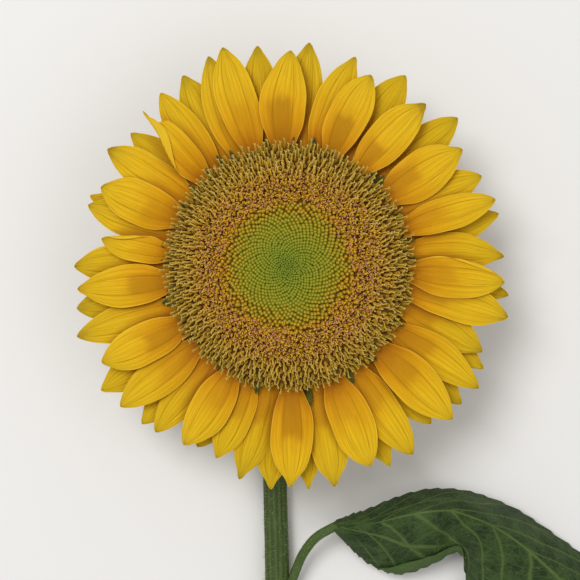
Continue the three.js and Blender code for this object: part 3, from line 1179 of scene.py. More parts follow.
@dataclass
class RayPetals:
    """The rays round the disc.

    Each row of petals holds the numbers of one Petal. Each row of the blotch table holds the tip's
    angle of a petal, how strong its painted shade blotch is, and how far to the side it sits. The
    blotch is painted shade where bracts behind keep light from shining through the petal.
    """

    seat: Seat
    seed: int = 5
    rows: int = 40
    columns: int = 20
    half_thickness: float = 0.14
    groove_depth: float = 0.28
    groove_place: float = 0.43
    fold_radius: float = 0.42
    root_widening: float = 0.35
    petals: tuple = (
        (2.9, 7, 74.4, 6.6, 2), (14.3, 13, 75.1, 6.4, 0), (18.1, 18.5, 74.6, 5.8, 4),
        (25.3, 27, 73.6, 6.2, 2), (34.3, 36, 72, 8, 4), (41.5, 43, 78.2, 6.8, 0),
        (50.1, 54, 73.1, 7, 4), (58.7, 61, 77.9, 6.8, 0), (66.8, 69, 71.7, 6.9, 4),
        (72.5, 76, 76.1, 6.8, 2), (84.9, 85, 78.2, 6.8, 0), (89.5, 93, 74.4, 8, 4),
        (98.2, 100, 77.5, 6.6, 0), (106.9, 107, 79.2, 6.9, 3), (110.9, 114, 77.9, 6.6, 2),
        (118.9, 120, 76.1, 6.2, 0), (126.5, 127, 74.8, 5.8, 2), (133.1, 134, 73.4, 5.9, 4, 8, 0.9),
        (139.7, 140, 72, 6, 0), (146.9, 145.5, 74.8, 6.4, 3), (157, 156, 70.3, 7.4, 4),
        (160.3, 161, 73.4, 6.2, 0), (162.9, 164, 72.7, 6.2, 2), (171.5, 173.5, 65.2, 5, 4, 0, -0.5),
        (179.7, 179, 74.4, 6.4, 1), (186, 187, 73.1, 7.3, 4), (191, 192, 75.1, 6.4, 0),
        (198, 200, 77.2, 6.8, 2), (207, 208, 72.2, 6.9, 4), (213.3, 214, 78, 6.4, 0),
        (219.5, 220.5, 75.5, 6.6, 3), (226.7, 227, 74.6, 6.2, 0), (230.9, 230, 73.4, 6.4, 2),
        (239.4, 241, 71, 7, 4), (242.9, 245, 70, 5.8, 0), (249.1, 250.5, 70.7, 6.2, 2),
        (256.8, 259, 75.5, 6.6, 1), (265.3, 265, 77.3, 6.2, 0), (270.3, 271, 75.6, 7.3, 4),
        (275, 276.5, 77.3, 5.8, 0), (281.8, 282.5, 77.5, 6.6, 2), (292.1, 292, 73.9, 7.3, 4),
        (296.9, 297, 77.5, 5.8, 0), (303.3, 303, 77.2, 6.4, 3), (312.3, 311, 73.4, 5.8, 0),
        (316.9, 317.5, 76.8, 7.6, 4), (321.5, 323, 76.5, 5.8, 0), (327.5, 329, 77.5, 6.6, 3),
        (332.5, 335, 76.1, 6, 0), (336.3, 341, 72.9, 6.4, 2), (347, 349, 77.2, 6.6, 3),
        (352.8, 355, 76.8, 6.2, 0), (356, 357.5, 74.3, 7.2, 4, -10, 0.34),
    )
    # Painted shade blotches, where bracts behind keep light from shining through a petal.
    faint_shade_blotch: tuple = (0.15, 0)
    shade_blotches: tuple = (
        (18.1, 0.4, 0.2), (34.3, 0.7, 0.3), (50.1, 0.9, 0.1), (66.8, 1, 0), (89.5, 1, 0.1),
        (106.9, 0.35, 0), (110.9, 0.4, 0), (157, 0.5, 0.1), (186, 0.85, 0), (207, 0.85, 0.1),
        (219.5, 0.4, 0), (239.4, 0.35, 0), (249.1, 0.6, 0), (256.8, 0.8, 0), (270.3, 1, 0),
        (281.8, 0.8, -0.25), (292.1, 0.4, -0.2), (303.3, 0.7, 0), (316.9, 0.8, 0), (327.5, 0.8, 0),
        (336.3, 0.7, 0), (347, 0.6, 0), (356, 0.4, 0.1),
    )

    def surface(self, petal: Petal, rng: np.random.Generator) -> Surface:
        """Work out the surface of one petal.

        Args:
            petal: The petal.
            rng: Source of its chance differences.

        Returns:
            The surface.
        """
        root = polar(ROOT_RADIUS, petal.root)
        middle = polar((ROOT_RADIUS + petal.reach) / 2, petal.root)
        tip = polar(petal.reach, petal.tip)
        base = PETAL_ROOT_HEIGHT + PETAL_LAYER_STEP * petal.layer
        droop = 2.6 - 0.35 * petal.layer + rng.uniform(-0.6, 0.6)
        lift = 0.3 + 0.45 * petal.layer
        roll, wavy, phase = rng.uniform(-0.05, 0.05), rng.uniform(0.1, 0.35), rng.uniform(0, 6)
        crown, pinch = rng.uniform(-0.13, -0.05), rng.uniform(-0.3, 0.9)
        lean = rng.uniform(-0.5, 0.5, 2)
        blunt = rng.uniform(-0.12, 0.14)
        sharp = np.interp(abs(petal.tip - 268), (13, 24), (1, rng.uniform(-0.2, 0.6)))

        def place(along: Array, across: Array) -> Array:
            """Work out points of the petal.

            Args:
                along: Share from the root to the tip.
                across: From -1 to 1 across the flat petal.

            Returns:
                The points.
            """
            a = along[:, None]
            spine = (1 - a) ** 2 * root + 2 * a * (1 - a) * middle + a**2 * tip
            ahead = unit(2 * (1 - a) * (middle - root) + 2 * a * (tip - middle))
            aside = np.stack([-ahead[:, 1], ahead[:, 0]], axis=1)
            half = petal.half_width * smooth_curve(PETAL_OUTLINE, along)
            half = half * (1 + 0.03 * np.sin(9 * along + phase) * np.sign(across))
            half = half * (1 + blunt * smooth_step(along, 0.5, 0.86))
            half = half * (1 - 0.3 * sharp * np.exp(-(((along - 0.94) / 0.07) ** 2)))
            back = petal.layer < 2
            half = half * (1 + self.root_widening * back * smooth_step(along, 0.45, 0.1))
            if petal.fold > 0.5:
                half = half * (1 - 0.88 * (across < 0) * smooth_step(along, 0.77, 0.84))
            free = smooth_step(along, 0.08, 0.3)
            wide, up = self.folded(petal.fold * smooth_step(along, 0.1, 0.9), half, across)
            spread = wide / half
            height = base - droop * along**2 + lift * np.sin(
                np.pi / 2 * np.clip((along - 0.11) / 0.45, 0, 1)
            )
            bow = 0.13 * (1 - free) + crown * free * smooth_step(along, 1.15, 0.7)
            height = height + half * bow * spread**2 + pinch * along**6 + up
            height += half * roll * spread * free
            height += wavy * free * np.abs(spread) ** 3 * np.sin(
                11 * along + phase + 1.7 * np.sign(across)
            )
            fade = smooth_step(along, 0.05, 0.2) * smooth_step(along, 1.0, 0.75)
            groove = np.exp(-(((np.abs(across) - self.groove_place) / 0.075) ** 2))
            height -= self.groove_depth * fade * groove
            turn = np.radians(petal.twist) * smooth_step(along, 0.35, 1.0)
            height += wide * np.sin(turn)
            wide = wide * np.cos(turn) + lean[0] * np.sin(np.pi * along)
            return np.column_stack([spine + aside * wide[:, None], height])

        return place

    def folded(self, fold: Array, half: Array, across: Array) -> tuple[Array, Array]:
        """Fold one margin of a petal over onto its face.

        Args:
            fold: Share of the half-width that is folded, signed by its side.
            half: Half-width in mm.
            across: Place across the flat petal, from -1 to 1.

        Returns:
            The place across in mm after the fold, and the height above the face.
        """
        side = np.sign(fold)
        line = half * (1 - np.abs(fold))
        past = np.maximum(half * across * side - line, 0)
        arc = np.minimum(past / self.fold_radius, np.pi)
        back = np.maximum(past - np.pi * self.fold_radius, 0)
        turned = side * (line + self.fold_radius * np.sin(arc) - back)
        up = self.fold_radius * (1 - np.cos(arc))
        return np.where(past > 0, turned, half * across), up

    def build(self) -> None:
        """Build the petals, in one piece for each group of layers."""
        blank = sheet(self.rows, self.columns)
        rng = np.random.default_rng(self.seed)
        finish = PetalFinish().made()
        groups: dict[Layer, list[Shape]] = {layer: [] for layer in Layer}
        petals = [Petal(*entry) for entry in self.petals]
        shade_blotches = {tip: rest for tip, *rest in self.shade_blotches}
        for petal in petals:
            surface = self.surface(petal, rng)
            # Strength and side shift of this petal's painted shade blotch.
            stain, side = shade_blotches.get(petal.tip, self.faint_shade_blotch)
            shape = laid(
                blank, surface, self.half_thickness, tone=rng.random(), layer=petal.layer / 4,
                stain=stain, stain_side=side,
            )
            plan = shape.points[:, :2]
            # Mask of painted shade where lower petals lie behind this petal.
            shape.values["covered"] = petal.overlap(plan, petals, False, 0.3)
            # Mask of the painted shadow that the petals above cast on this one.
            shape.values["hidden"] = petal.overlap(plan, petals, True, 3.0)
            groups[next(g for g in Layer if petal.layer in g.value)].append(shape)
        for layer, shapes in groups.items():
            name = f"petals_{layer.name.lower()}"
            self.seat.piece(name, Shape.joined(shapes), finish, "petals", "ray_petals")


@dataclass
class Disc:
    """The disc: closed buds in the middle, then opening buds, then open florets with stigmas.

    Starts and ends are radii. Crowding gives the room in mm² that a floret has at a radius. Unrest
    is how far florets stray past the start of their zone, and shared is how far buds go on in it.
    """

    seat: Seat
    seed: int = 7
    chance_seed: int = 3
    floret_start: float = 22.8
    stigma_start: float = 28.5
    stigma_end: float = 40.2
    stigma_length: float = 4.9
    stigma_curl: float = 65
    calm_side: float = 125
    crowding: tuple = (
        (0, 0.45), (4, 0.6), (8, 0.9), (13, 1.22), (19, 1.58), (24, 2.05), (33, 2.7), (42, 2.9),
    )
    off_centre: tuple = (-1.0, 0.7)
    unrest: float = 2.4
    shared: float = 1.6
    lobed_within: float = 32.5

    def spiral(self) -> tuple[Array, Array]:
        """Set out every floret of the disc on the spiral.

        Returns:
            The radius of each floret and its angle in radians.
        """
        radii = np.linspace(0, DISC_RADIUS, 4000)
        room = np.interp(radii, *zip(*self.crowding))
        total = np.cumsum(2 * np.pi * radii / room * (radii[1] - radii[0]))
        numbers = np.arange(int(total[-1])) + 0.5
        return np.interp(numbers, total, radii), numbers * GOLDEN_TURN

    def places(self, radius: Array, angle: Array) -> tuple[Array, Array]:
        """Turn the spiral into plan points.

        Args:
            radius: Radius of each floret.
            angle: Its angle.

        Returns:
            The plan points, and the outward direction at each.
        """
        out = np.stack([np.cos(angle), np.sin(angle)], axis=1)
        share = (1 - radius / DISC_RADIUS)[:, None]
        spot = out * radius[:, None] + share * np.array(self.off_centre)
        drift = 0.5 * np.sin(spot[:, ::-1] * np.array([0.37, 0.31]) + np.array([1.0, 4.0]))
        return spot + drift * share, out

    @staticmethod
    def upright(out: Array, lean: Array, spin: Array) -> Array:
        """Work out the axes of copies that lean outwards.

        Args:
            out: Outward direction of each.
            lean: Lean from upright, in radians.
            spin: Turn about its own axis, in radians.

        Returns:
            Three axes for each copy.
        """
        radial = np.column_stack([out, np.zeros(len(out))])
        across = np.column_stack([-out[:, 1], out[:, 0], np.zeros(len(out))])
        up = radial * np.sin(lean)[:, None] + np.array([0, 0, 1.0]) * np.cos(lean)[:, None]
        side = radial * np.cos(lean)[:, None] - np.array([0, 0, 1.0]) * np.sin(lean)[:, None]
        c, s = np.cos(spin)[:, None], np.sin(spin)[:, None]
        return np.stack([side * c + across * s, across * c - side * s, up], axis=1)

    @staticmethod
    def bud() -> Shape:
        """Model one closed bud, 1 mm in radius and 2 mm high.

        Returns:
            The bud, standing on height 0.
        """
        blank = Blank("uv_sphere", segments=7, ring_count=6, radius=1, location=(0, 0, 0))
        with blank.edited():
            blank.select(lambda p: p[2] > 0.95)
            bpy.ops.transform.translate(value=(0, 0, 0.12))
            blank.select(lambda p: 0.7 < p[2] < 0.95)
            bpy.ops.transform.resize(value=(0.85, 0.85, 1), center_override=(0, 0, 0.8))
        return blank.taken().moved((0, 0, 1))

    @staticmethod
    def floret() -> Shape:
        """Model one open floret: a tube with five lobes turned out, and the anther tube in it.

        Returns:
            The floret, with "organ" 0 on the lobes and 0.5 on the anthers.
        """
        blank = Blank("circle", vertices=10, radius=0.42, location=(0, 0, 0))
        with blank.edited():
            bpy.ops.mesh.select_all(action="SELECT")
            blank.grow([(0.42, 0), (0.48, 1.7), (0.56, 2.3), (0.36, 2.2), (0.3, 1.3)])
            blank.close()
            blank.close_foot()
            for k in range(5):
                heading = polar(0.56, 72 * k)
                blank.select(lambda p, h=heading: np.hypot(*(p[:2] - h)) < 0.1 and p[2] > 2.2)
                reach = (1.15, 0.8, 1.3, 0.7, 1.05)[k]
                bpy.ops.transform.translate(value=(*(reach * heading), 0.5 - 0.3 * (k % 2)))
        lobes = blank.taken().marked(organ=0)
        tube = spike(5, [(0.26, 0), (0.30, 2.3), (0.26, 2.8), (0.10, 3.1)]).marked(organ=0.5)
        return Shape.joined([lobes, tube])

    @staticmethod
    def lobe() -> Shape:
        """Model one short lobe that stands on its foot."""
        return spike(4, [(0.15, 0), (0.25, 0.4), (0.22, 0.8), (0.09, 1.15)])

    @staticmethod
    def stigma(length: float, curl: float) -> Shape:
        """Model one stigma: a stalk with two arms that curl apart.

        Args:
            length: Height of the stalk, in mm.
            curl: How far the arms curl, in degrees.

        Returns:
            The upright stigma.
        """
        steps = [
            (0.30, 0), (0.26, 0.14), (0.23, 0.28), (0.22, 0.42), (0.23, 0.56), (0.24, 0.70),
            (0.26, 0.85), (0.22, 1.0),
        ]
        stalk = spike(4, [(r, h * length) for r, h in steps])
        stalk.values["rise"] = stalk.values["rise"] * 0.8
        parts = [stalk]
        for heading, reach, turn, sunk in ((55, 1.05, curl, 0.15), (-115, 0.85, 0.9 * curl, 0.17)):
            arm = spike(4, [(0.21, 0), (0.2, 0.4 * reach), (0.18, 0.75 * reach), (0.1, reach)])
            curled = arm.bent(turn, heading).moved((0, 0, length - sunk))
            curled.values["rise"] = 0.8 + 0.2 * curled.values["rise"]
            parts.append(curled)
        return Shape.joined(parts).marked(organ=1)

    @staticmethod
    def height(radius: Array) -> Array:
        """Return how far the florets stand above the disc's base at a radius, in mm."""
        return np.interp(radius, (0, 12, 20, 24, 28, 34, 41), (1.0, 1.25, 1.5, 2.1, 2.9, 3.4, 2.9))

    @staticmethod
    def turned(out: Array, by: Array) -> Array:
        """Turn plan directions by angles in radians."""
        c, s = np.cos(by), np.sin(by)
        return np.column_stack([out[:, 0] * c - out[:, 1] * s, out[:, 0] * s + out[:, 1] * c])

    def chance(self, count: int) -> Array:
        """Return the same chance numbers from 0 to 1 each time, one for each floret."""
        return np.random.default_rng(self.chance_seed).random(count)

    def build_buds(self, radius: Array, angle: Array, rng: np.random.Generator) -> None:
        """Build the closed and the opening buds.

        Args:
            radius: Radius of every floret of the disc.
            angle: Its angle.
            rng: Source of chance differences.
        """
        chance = self.chance(len(radius))
        shut = radius < self.floret_start + self.shared + self.unrest * (2 * chance - 1)
        radius, angle = radius[shut], angle[shut]
        spot, out = self.places(radius, angle)
        room = np.sqrt(np.interp(radius, *zip(*self.crowding)))
        count = len(radius)
        loose = smooth_step(radius, 15, 25)
        spot = spot + rng.normal(0, 1, (count, 2)) * (0.07 + 0.09 * loose)[:, None]
        lean = 0.25 * radius / 25 + (0.1 + 0.25 * loose) * rng.normal(size=count)
        axes = self.upright(out, lean, rng.uniform(0, 1, count))
        wide = np.interp(radius, (0, 12, 19, 24), (0.7, 0.69, 0.63, 0.64)) * room
        wide = wide * (1 + (0.06 + loose) * rng.uniform(-0.14, 0.1, count))
        high = self.height(radius) * (1 + (0.05 + 0.15 * loose) * rng.normal(size=count))
        bud = self.bud()
        local = bud.points[None] * np.stack([wide, wide, high / 2 + 0.1], axis=1)[:, None]
        feet = np.column_stack([spot, np.full(count, DISC_BASE - 0.1)])
        points = np.einsum("kni,kij->knj", local, axes) + feet[:, None]
        shape = bud.copied(points, {"zone": radius / DISC_RADIUS, "tone": rng.random(count)})
        self.seat.piece("disc_buds_fine", shape, BudFinish().made(), "buds", "disc_buds")

    def build_florets(self, radius: Array, angle: Array, rng: np.random.Generator) -> None:
        """Build the open florets and the stigmas that stand over them.

        Args:
            radius: Radius of every floret of the disc.
            angle: Its angle.
            rng: Source of chance differences.
        """
        open_now = radius >= self.floret_start + self.unrest * (2 * self.chance(len(radius)) - 1)
        radius, angle = radius[open_now], angle[open_now]
        spot, out = self.places(radius, angle)
        count = len(radius)
        spot = spot + rng.normal(0, 0.09, (count, 2))
        finish = FloretFinish().made()
        floret = self.floret()
        tilt = np.interp(radius, (24, 34, 41), (0.15, 0.4, 0.75)) + rng.normal(0, 0.16, count)
        axes = self.upright(out, tilt, rng.uniform(0, 6.3, count))
        size = np.interp(radius, (22, 28, 34, 41), (0.92, 1.08, 1.1, 1.0))
        size = size * rng.uniform(0.85, 1.15, count)
        tall = size * self.height(radius) / 3.1 * rng.uniform(0.85, 1.15, count)
        local = floret.points[None] * np.stack([size, size, tall], axis=1)[:, None]
        feet = np.column_stack([spot, np.full(count, DISC_BASE - 0.2)])
        points = np.einsum("kni,kij->knj", local, axes) + feet[:, None]
        values = {"zone": radius / DISC_RADIUS, "tone": rng.random(count)}
        shape = floret.copied(points, values)
        self.seat.piece("disc_florets_open", shape, finish, "florets", "disc_florets")
        self.build_lobes(radius, spot, finish, rng)
        self.build_stigmas(radius, spot, out, finish, rng)

    def build_lobes(
        self, radius: Array, spot: Array, finish: bpy.types.Material, rng: np.random.Generator
    ) -> None:
        """Build the short lobes and anther tips that crowd the florets' mouths.

        Args:
            radius: Radius of every open floret.
            spot: Its plan point.
            finish: The florets' material.
            rng: Source of chance differences.
        """
        near = radius < self.lobed_within
        lobe = self.lobe()
        shapes = []
        for organ, each in ((0.0, 3), (0.5, 2)):
            ring = np.repeat(radius[near], each)
            count = len(ring)
            turn = rng.uniform(0, 2 * np.pi, count)
            way = np.stack([np.cos(turn), np.sin(turn)], axis=1)
            axes = self.upright(way, rng.uniform(0.4, 1.3, count), rng.uniform(0, 1.5, count))
            local = lobe.points[None] * rng.uniform(0.8, 1.3, count)[:, None, None]
            foot = DISC_BASE + self.height(ring) * rng.uniform(0.72, 1.0, count)
            feet = np.column_stack([np.repeat(spot[near], each, axis=0) + 0.25 * way, foot])
            points = np.einsum("kni,kij->knj", local, axes) + feet[:, None]
            values = {"zone": ring / DISC_RADIUS, "tone": rng.random(count)}
            shapes.append(lobe.marked(organ=organ).copied(points, values))
        self.seat.piece(
            "floret_lobes", Shape.joined(shapes), finish, "florets", "disc_florets"
        )

    def build_stigmas(
        self, radius: Array, spot: Array, out: Array, finish: bpy.types.Material,
        rng: np.random.Generator,
    ) -> None:
        """Build the stigmas.

        Args:
            radius: Radius of every open floret.
            spot: Its plan point.
            out: Outward direction at it.
            finish: The florets' material.
            rng: Source of chance differences.
        """
        tall = radius > self.stigma_start + rng.uniform(-4, 1, len(radius))
        tall &= radius < self.stigma_end
        radius, spot, out = radius[tall], spot[tall], out[tall]
        count = len(radius)
        length = self.stigma_length
        stigma = self.stigma(length, self.stigma_curl)
        wild = 0.5 - 0.5 * out @ polar(1, self.calm_side)
        bend = np.interp(radius, (25, 31, 41), (0.45, 0.7, 0.6))
        bend = np.maximum(bend + (0.1 + 0.14 * wild) * rng.normal(size=count), 0.1)
        share = stigma.points[:, 2] / length
        theta = bend[:, None] * share[None]
        arc = (length / bend)[:, None]
        forward = stigma.points[None, :, 0]
        sway = ((0.07 + 0.32 * wild) * rng.normal(size=count))[:, None] * np.sin(
            share[None] * rng.uniform(4, 9, count)[:, None] + rng.uniform(0, 6, count)[:, None]
        ) * np.sqrt(share[None] + 0.01)
        local = np.stack([
            arc * (1 - np.cos(theta)) + forward * np.cos(theta),
            stigma.points[None, :, 1] + sway,
            arc * np.sin(theta) - forward * np.sin(theta),
        ], axis=2)
        size = np.interp(radius, (22, 26, 29.5, 41), (0.55, 0.7, 1.0, 1.02))
        size = size * rng.uniform(0.85, 1.15, count) * (1.02 - 0.14 * wild)
        stout = np.interp(radius, (22, 29, 41), (1.35, 1.0, 0.95))
        local = local * np.stack([stout, stout, np.ones(count)], axis=1)[:, None]
        local = local * size[:, None, None]
        tilt = np.interp(radius, (25, 31, 41), (0.3, 0.45, 0.45)) + rng.normal(0, 0.1, count)
        stray = np.interp(radius, (23, 27, 31, 41), (1.5, 0.5, 0.15, 0.13)) * (0.8 + 0.8 * wild)
        stray = stray * rng.normal(size=count)
        axes = self.upright(self.turned(out, stray), tilt, np.zeros(count))
        feet = np.column_stack([spot, np.full(count, DISC_BASE + 0.3)])
        points = np.einsum("kni,kij->knj", local, axes) + feet[:, None]
        values = {"zone": radius / DISC_RADIUS, "tone": rng.random(count)}
        shape = stigma.copied(points, values)
        self.seat.piece("stigmas", shape, finish, "florets", "disc_florets")

    def build_ground(self) -> None:
        """Build the dark ground that the florets stand on."""
        blank = Blank("circle", vertices=72, radius=DISC_RADIUS, location=(0, 0, 0))
        rings = [
            (41, 0), (41, 0.5), (38, 0.9), (30, 0.9), (25, 0.8), (20, 0.6), (10, 0.5), (2, 0.4),
        ]
        with blank.edited():
            bpy.ops.mesh.select_all(action="SELECT")
            blank.grow(rings)
            blank.close()
            blank.close_foot()
        ground = blank.taken().moved((0, 0, DISC_BASE - 0.1))
        self.seat.piece("disc_ground", ground, PitFinish().made(), "florets", "disc_florets")

    def build(self) -> None:
        """Build the whole disc."""
        rng = np.random.default_rng(self.seed)
        radius, angle = self.spiral()
        self.build_ground()
        self.build_buds(radius, angle, rng)
        self.build_florets(radius, angle, rng)


@dataclass
class Calyx:
    """The green back of the head and the bracts round it.

    Each of the rows holds how many bracts it has, the angle of its first, their half-width, and
    the radius and height of points on their midribs. Each of the scales holds its angle, the
    radius of its point and its half-width.
    """

    seat: Seat
    seed: int = 11
    rows: tuple = (
        (15, 3, 5.6, ((37, 32.4), (44, 33.2), (50.5, 33.1), (58, 32.2))),
        (13, 15, 6.0, ((32, 28.4), (42, 29), (52, 26.6), (62, 22.4))),
        (12, 8, 6.2, ((24, 24.6), (36, 24.2), (46, 20.8), (56, 14))),
    )
    resting: tuple = ((24, 24.6), (37, 23.2), (45.5, 13.5), (52, 0.4))
    stem_sector: float = 24
    scales: tuple = (
        (3, 45.6, 1.1), (12, 43.6, 1.0), (26, 42.6, 1.2), (43.5, 44.8, 2.2), (47.5, 44.4, 1.6),
        (72.5, 42.6, 1.2), (79, 44.9, 1.1), (88, 44.2, 1.1), (100, 44, 1.2), (117, 44.6, 1.2),
        (123, 45.2, 1.3), (130, 44.2, 1.2), (141, 43.9, 1.2), (150, 42.6, 1.1), (170, 45.2, 1.4),
        (177, 44, 1.3), (191, 42.6, 1.6), (196, 44.9, 2.2), (212.5, 43, 1.4), (236, 43, 1.5),
        (246, 42.4, 1.2), (255, 44.5, 1.5), (279, 47.8, 1.2), (299, 45.3, 1.6), (312.5, 44.8, 1.4),
        (333, 43.8, 1.4), (346, 42.6, 1.2),
    )
    outline: tuple = (
        (0, 0.8), (0.15, 0.95), (0.3, 1.0), (0.5, 0.88), (0.7, 0.56), (0.85, 0.27), (0.95, 0.1),
        (1.0, 0.02),
    )
    half_thickness: float = 0.22

    def surface(
        self, angle: float, line: tuple, half_width: float, reach: float,
        rng: np.random.Generator, sway: float = 2.5,
    ) -> Surface:
        """Work out the surface of one bract.

        Args:
            angle: Where it stands, in degrees.
            line: Radius and height of the points that its midrib passes.
            half_width: Half its width, in mm.
            reach: Extra reach of its tip, in mm.
            rng: Source of its chance differences.
            sway: How far its tip may stray sideways, in mm.

        Returns:
            The surface.
        """
        ahead, aside = polar(1, angle), polar(1, angle + 90)
        phase, swing = rng.uniform(0, 6), rng.uniform(-sway, sway)
        resting = line[-1][1] < 1

        def place(along: Array, across: Array) -> Array:
            """Work out points of the bract.

            Args:
                along: Share from the foot to the tip.
                across: From -1 to 1 across the bract.

            Returns:
                The points.
            """
            radial = along_route(list(line), along)
            radial = radial + np.column_stack([reach * along**2, 0 * along])
            half = half_width * smooth_curve(list(self.outline), along)
            cup = 0.16 * half * across**2 * smooth_step(along, 0, 0.25)
            edge = 0.35 * across**2 * np.sin(8 * along + phase) * smooth_step(along, 0, 0.3)
            keel = -0.35 * np.exp(-((across / 0.12) ** 2))
            height = radial[:, 1] + cup + edge + keel
            if resting:
                height = np.maximum(height, self.half_thickness + 0.02)
            flat = radial[:, :1] * ahead + (half * across + swing * along**2)[:, None] * aside
            return np.column_stack([flat, height])

        return place

    def build_scales(self, rng: np.random.Generator) -> list[Shape]:
        """Build the small green scales whose points show between the petals' feet.

        Args:
            rng: Source of their chance differences.

        Returns:
            The scales.
        """
        blank = sheet(10, 6)
        scales = []
        for angle, reach, half_width in self.scales:
            line = ((reach - 6, 36.8), (reach - 3, 37.6), (reach - 1, 38.0), (reach + 0.6, 38.0))
            surface = self.surface(angle, line, 0.8 * half_width, 0, rng, 0.4)
            scales.append(laid(blank, surface, self.half_thickness, tone=rng.random()))
        return scales

    def build_back(self) -> Shape:
        """Build the green back of the head.

        Returns:
            Its shape, for the hairs on it.
        """
        radius, height = BACK_PROFILE[0]
        blank = Blank(
            "circle", vertices=80, radius=radius, location=(0, 0, 0), fill_type="TRIFAN"
        )
        with blank.edited():
            bpy.ops.mesh.select_all(action="SELECT")
            bpy.ops.transform.translate(value=(0, 0, height))
            blank.grow(BACK_PROFILE)
            blank.select(lambda p: p[2] < height + 0.01)
            blank.close()
        back = blank.taken()
        angle = np.arctan2(back.points[:, 1], back.points[:, 0])
        radius = np.hypot(back.points[:, 0], back.points[:, 1])
        swell = 0.35 * np.sin(13 * angle) * smooth_step(radius, 12, 36) * (back.points[:, 2] < 34)
        back.points[:, 2] -= np.abs(swell)
        back.values = {"along": radius / 60, "across": np.sin(9 * angle)}
        back = back.marked(tone=0.4)
        finish = GreenFinish("calyx_back", "#42592a", "#6e8a46", "#8aa05c").made()
        self.seat.piece("calyx_back", back, finish, "calyx", "calyx")
        return back

    def build(self) -> None:
        """Build the back, the bracts and their hairs."""
        back = self.build_back()
        blank = sheet(26, 12)
        rng = np.random.default_rng(self.seed)
        bracts = []
        for number, (count, first, half_width, line) in enumerate(self.rows):
            for i in range(count):
                angle = first + 360 * i / count + rng.uniform(-2.5, 2.5)
                clear = abs((angle - 270 + 180) % 360 - 180) > self.stem_sector
                down = number == len(self.rows) - 1 and i % 2 == 0 and clear
                route = self.resting if down else line
                reach = 0 if down else rng.uniform(-3, 3)
                surface = self.surface(angle, route, half_width, reach, rng)
                bracts.append(laid(blank, surface, self.half_thickness, tone=rng.random()))
        shape = Shape.joined(bracts)
        finish = GreenFinish("bract", "#2c3c1c", "#4c6230", "#6e8448").made()
        self.seat.piece("bracts", shape, finish, "calyx", "calyx")
        scales = Shape.joined(self.build_scales(rng))
        finish = GreenFinish("scale", "#3a3a12", "#646222", "#86844a").made()
        self.seat.piece("disc_scales", scales, finish, "calyx", "calyx")
        down = Shape.joined([
            hairs(Shape.joined([shape, scales]), 9000, 0.9, 0.05, 21),
            hairs(back, 3500, 0.8, 0.05, 22),
        ])
        self.seat.piece("calyx_hairs", down, HairFinish().made(), "calyx", "calyx")


@dataclass
class Stem:
    """The cut stem, from its end up the neck to the head.

    Each point of the route holds its place and the stem's radius there.
    """

    seat: Seat
    route: tuple = (
        (-3, -200, 4.9, 4.9), (-3.7, -150, 4.6, 4.6), (-4.4, -109, 4.5, 4.5), (-5.2, -76, 4.4, 4.4),
        (-5.2, -45, 4.5, 4.5), (-4.2, -24, 4.8, 4.8), (-2.6, -10.5, 6.4, 5.2), (-0.9, -2.6, 12, 6),
        (0, 0, 17, 7), (0, 0, 20.7, 8.6),
    )
    sides: int = 42
    rings: int = 150
    rib_depth: float = 0.022

    def blank(self) -> Shape:
        """Model the straight stem, 1 mm in radius and 1 mm high, with its cut foot.

        Returns:
            The straight stem.
        """
        blank = Blank(
            "circle", vertices=self.sides, radius=1, location=(0, 0, 0), fill_type="NGON"
        )
        with blank.edited():
            bpy.ops.mesh.select_all(action="SELECT")
            for _ in range(self.rings):
                bpy.ops.mesh.extrude_region_move(
                    TRANSFORM_OT_translate={"value": (0, 0, 1.0 / self.rings)}
                )
            blank.select(lambda p: p[2] < 1e-6)
            bpy.ops.mesh.select_mode(type="FACE")
            bpy.ops.mesh.inset(thickness=0.06)
            bpy.ops.mesh.inset(thickness=0.26)
            bpy.ops.transform.translate(value=(0, 0, 0.0016))
            bpy.ops.mesh.inset(thickness=0.3)
            bpy.ops.mesh.poke()
        return blank.taken()

    def build(self) -> None:
        """Build the stem and its bristles."""
        shape = self.blank()
        share = np.clip(shape.points[:, 2], 0, 1)
        radial = np.hypot(shape.points[:, 0], shape.points[:, 1])
        angle = np.arctan2(shape.points[:, 1], shape.points[:, 0])
        route = along_route(list(self.route), share)
        ahead = along_route(list(self.route), np.minimum(share + 0.002, 1))
        behind = along_route(list(self.route), np.maximum(share - 0.002, 0))
        tangent = unit(ahead[:, :3] - behind[:, :3])
        across = unit(np.cross(tangent, np.array([1.0, 0, 0])))
        across = np.where(tangent[:, 2:] > 0.999, np.array([[0, -1.0, 0]]), across)
        side = unit(np.cross(across, tangent))
        ripple = np.cos(STEM_RIBS * angle + 3 * np.sin(4 * share))
        ripple = 1 - self.rib_depth + self.rib_depth * ripple
        radius = route[:, 3] * radial * np.where(radial > 0.9, ripple, 1)
        points = (
            route[:, :3]
            + side * (radius * np.cos(angle))[:, None]
            + across * (radius * np.sin(angle))[:, None]
        )
        points[:, 2] = np.maximum(points[:, 2], 0.0)
        cut = np.where((share < 0.004) & (radial < 0.97), radial, 2.0)
        values = {"along": share, "around": angle / (2 * np.pi), "cut": cut}
        stem = Shape(points, shape.triangles, values)
        self.seat.piece("stem_fine", stem, StemFinish().made(), "stem", "stem")
        bristles = hairs(stem, 5200, 1.3, 0.06, 31, lean=0.35)
        self.seat.piece("stem_bristles", bristles, HairFinish().made(), "stem", "stem")


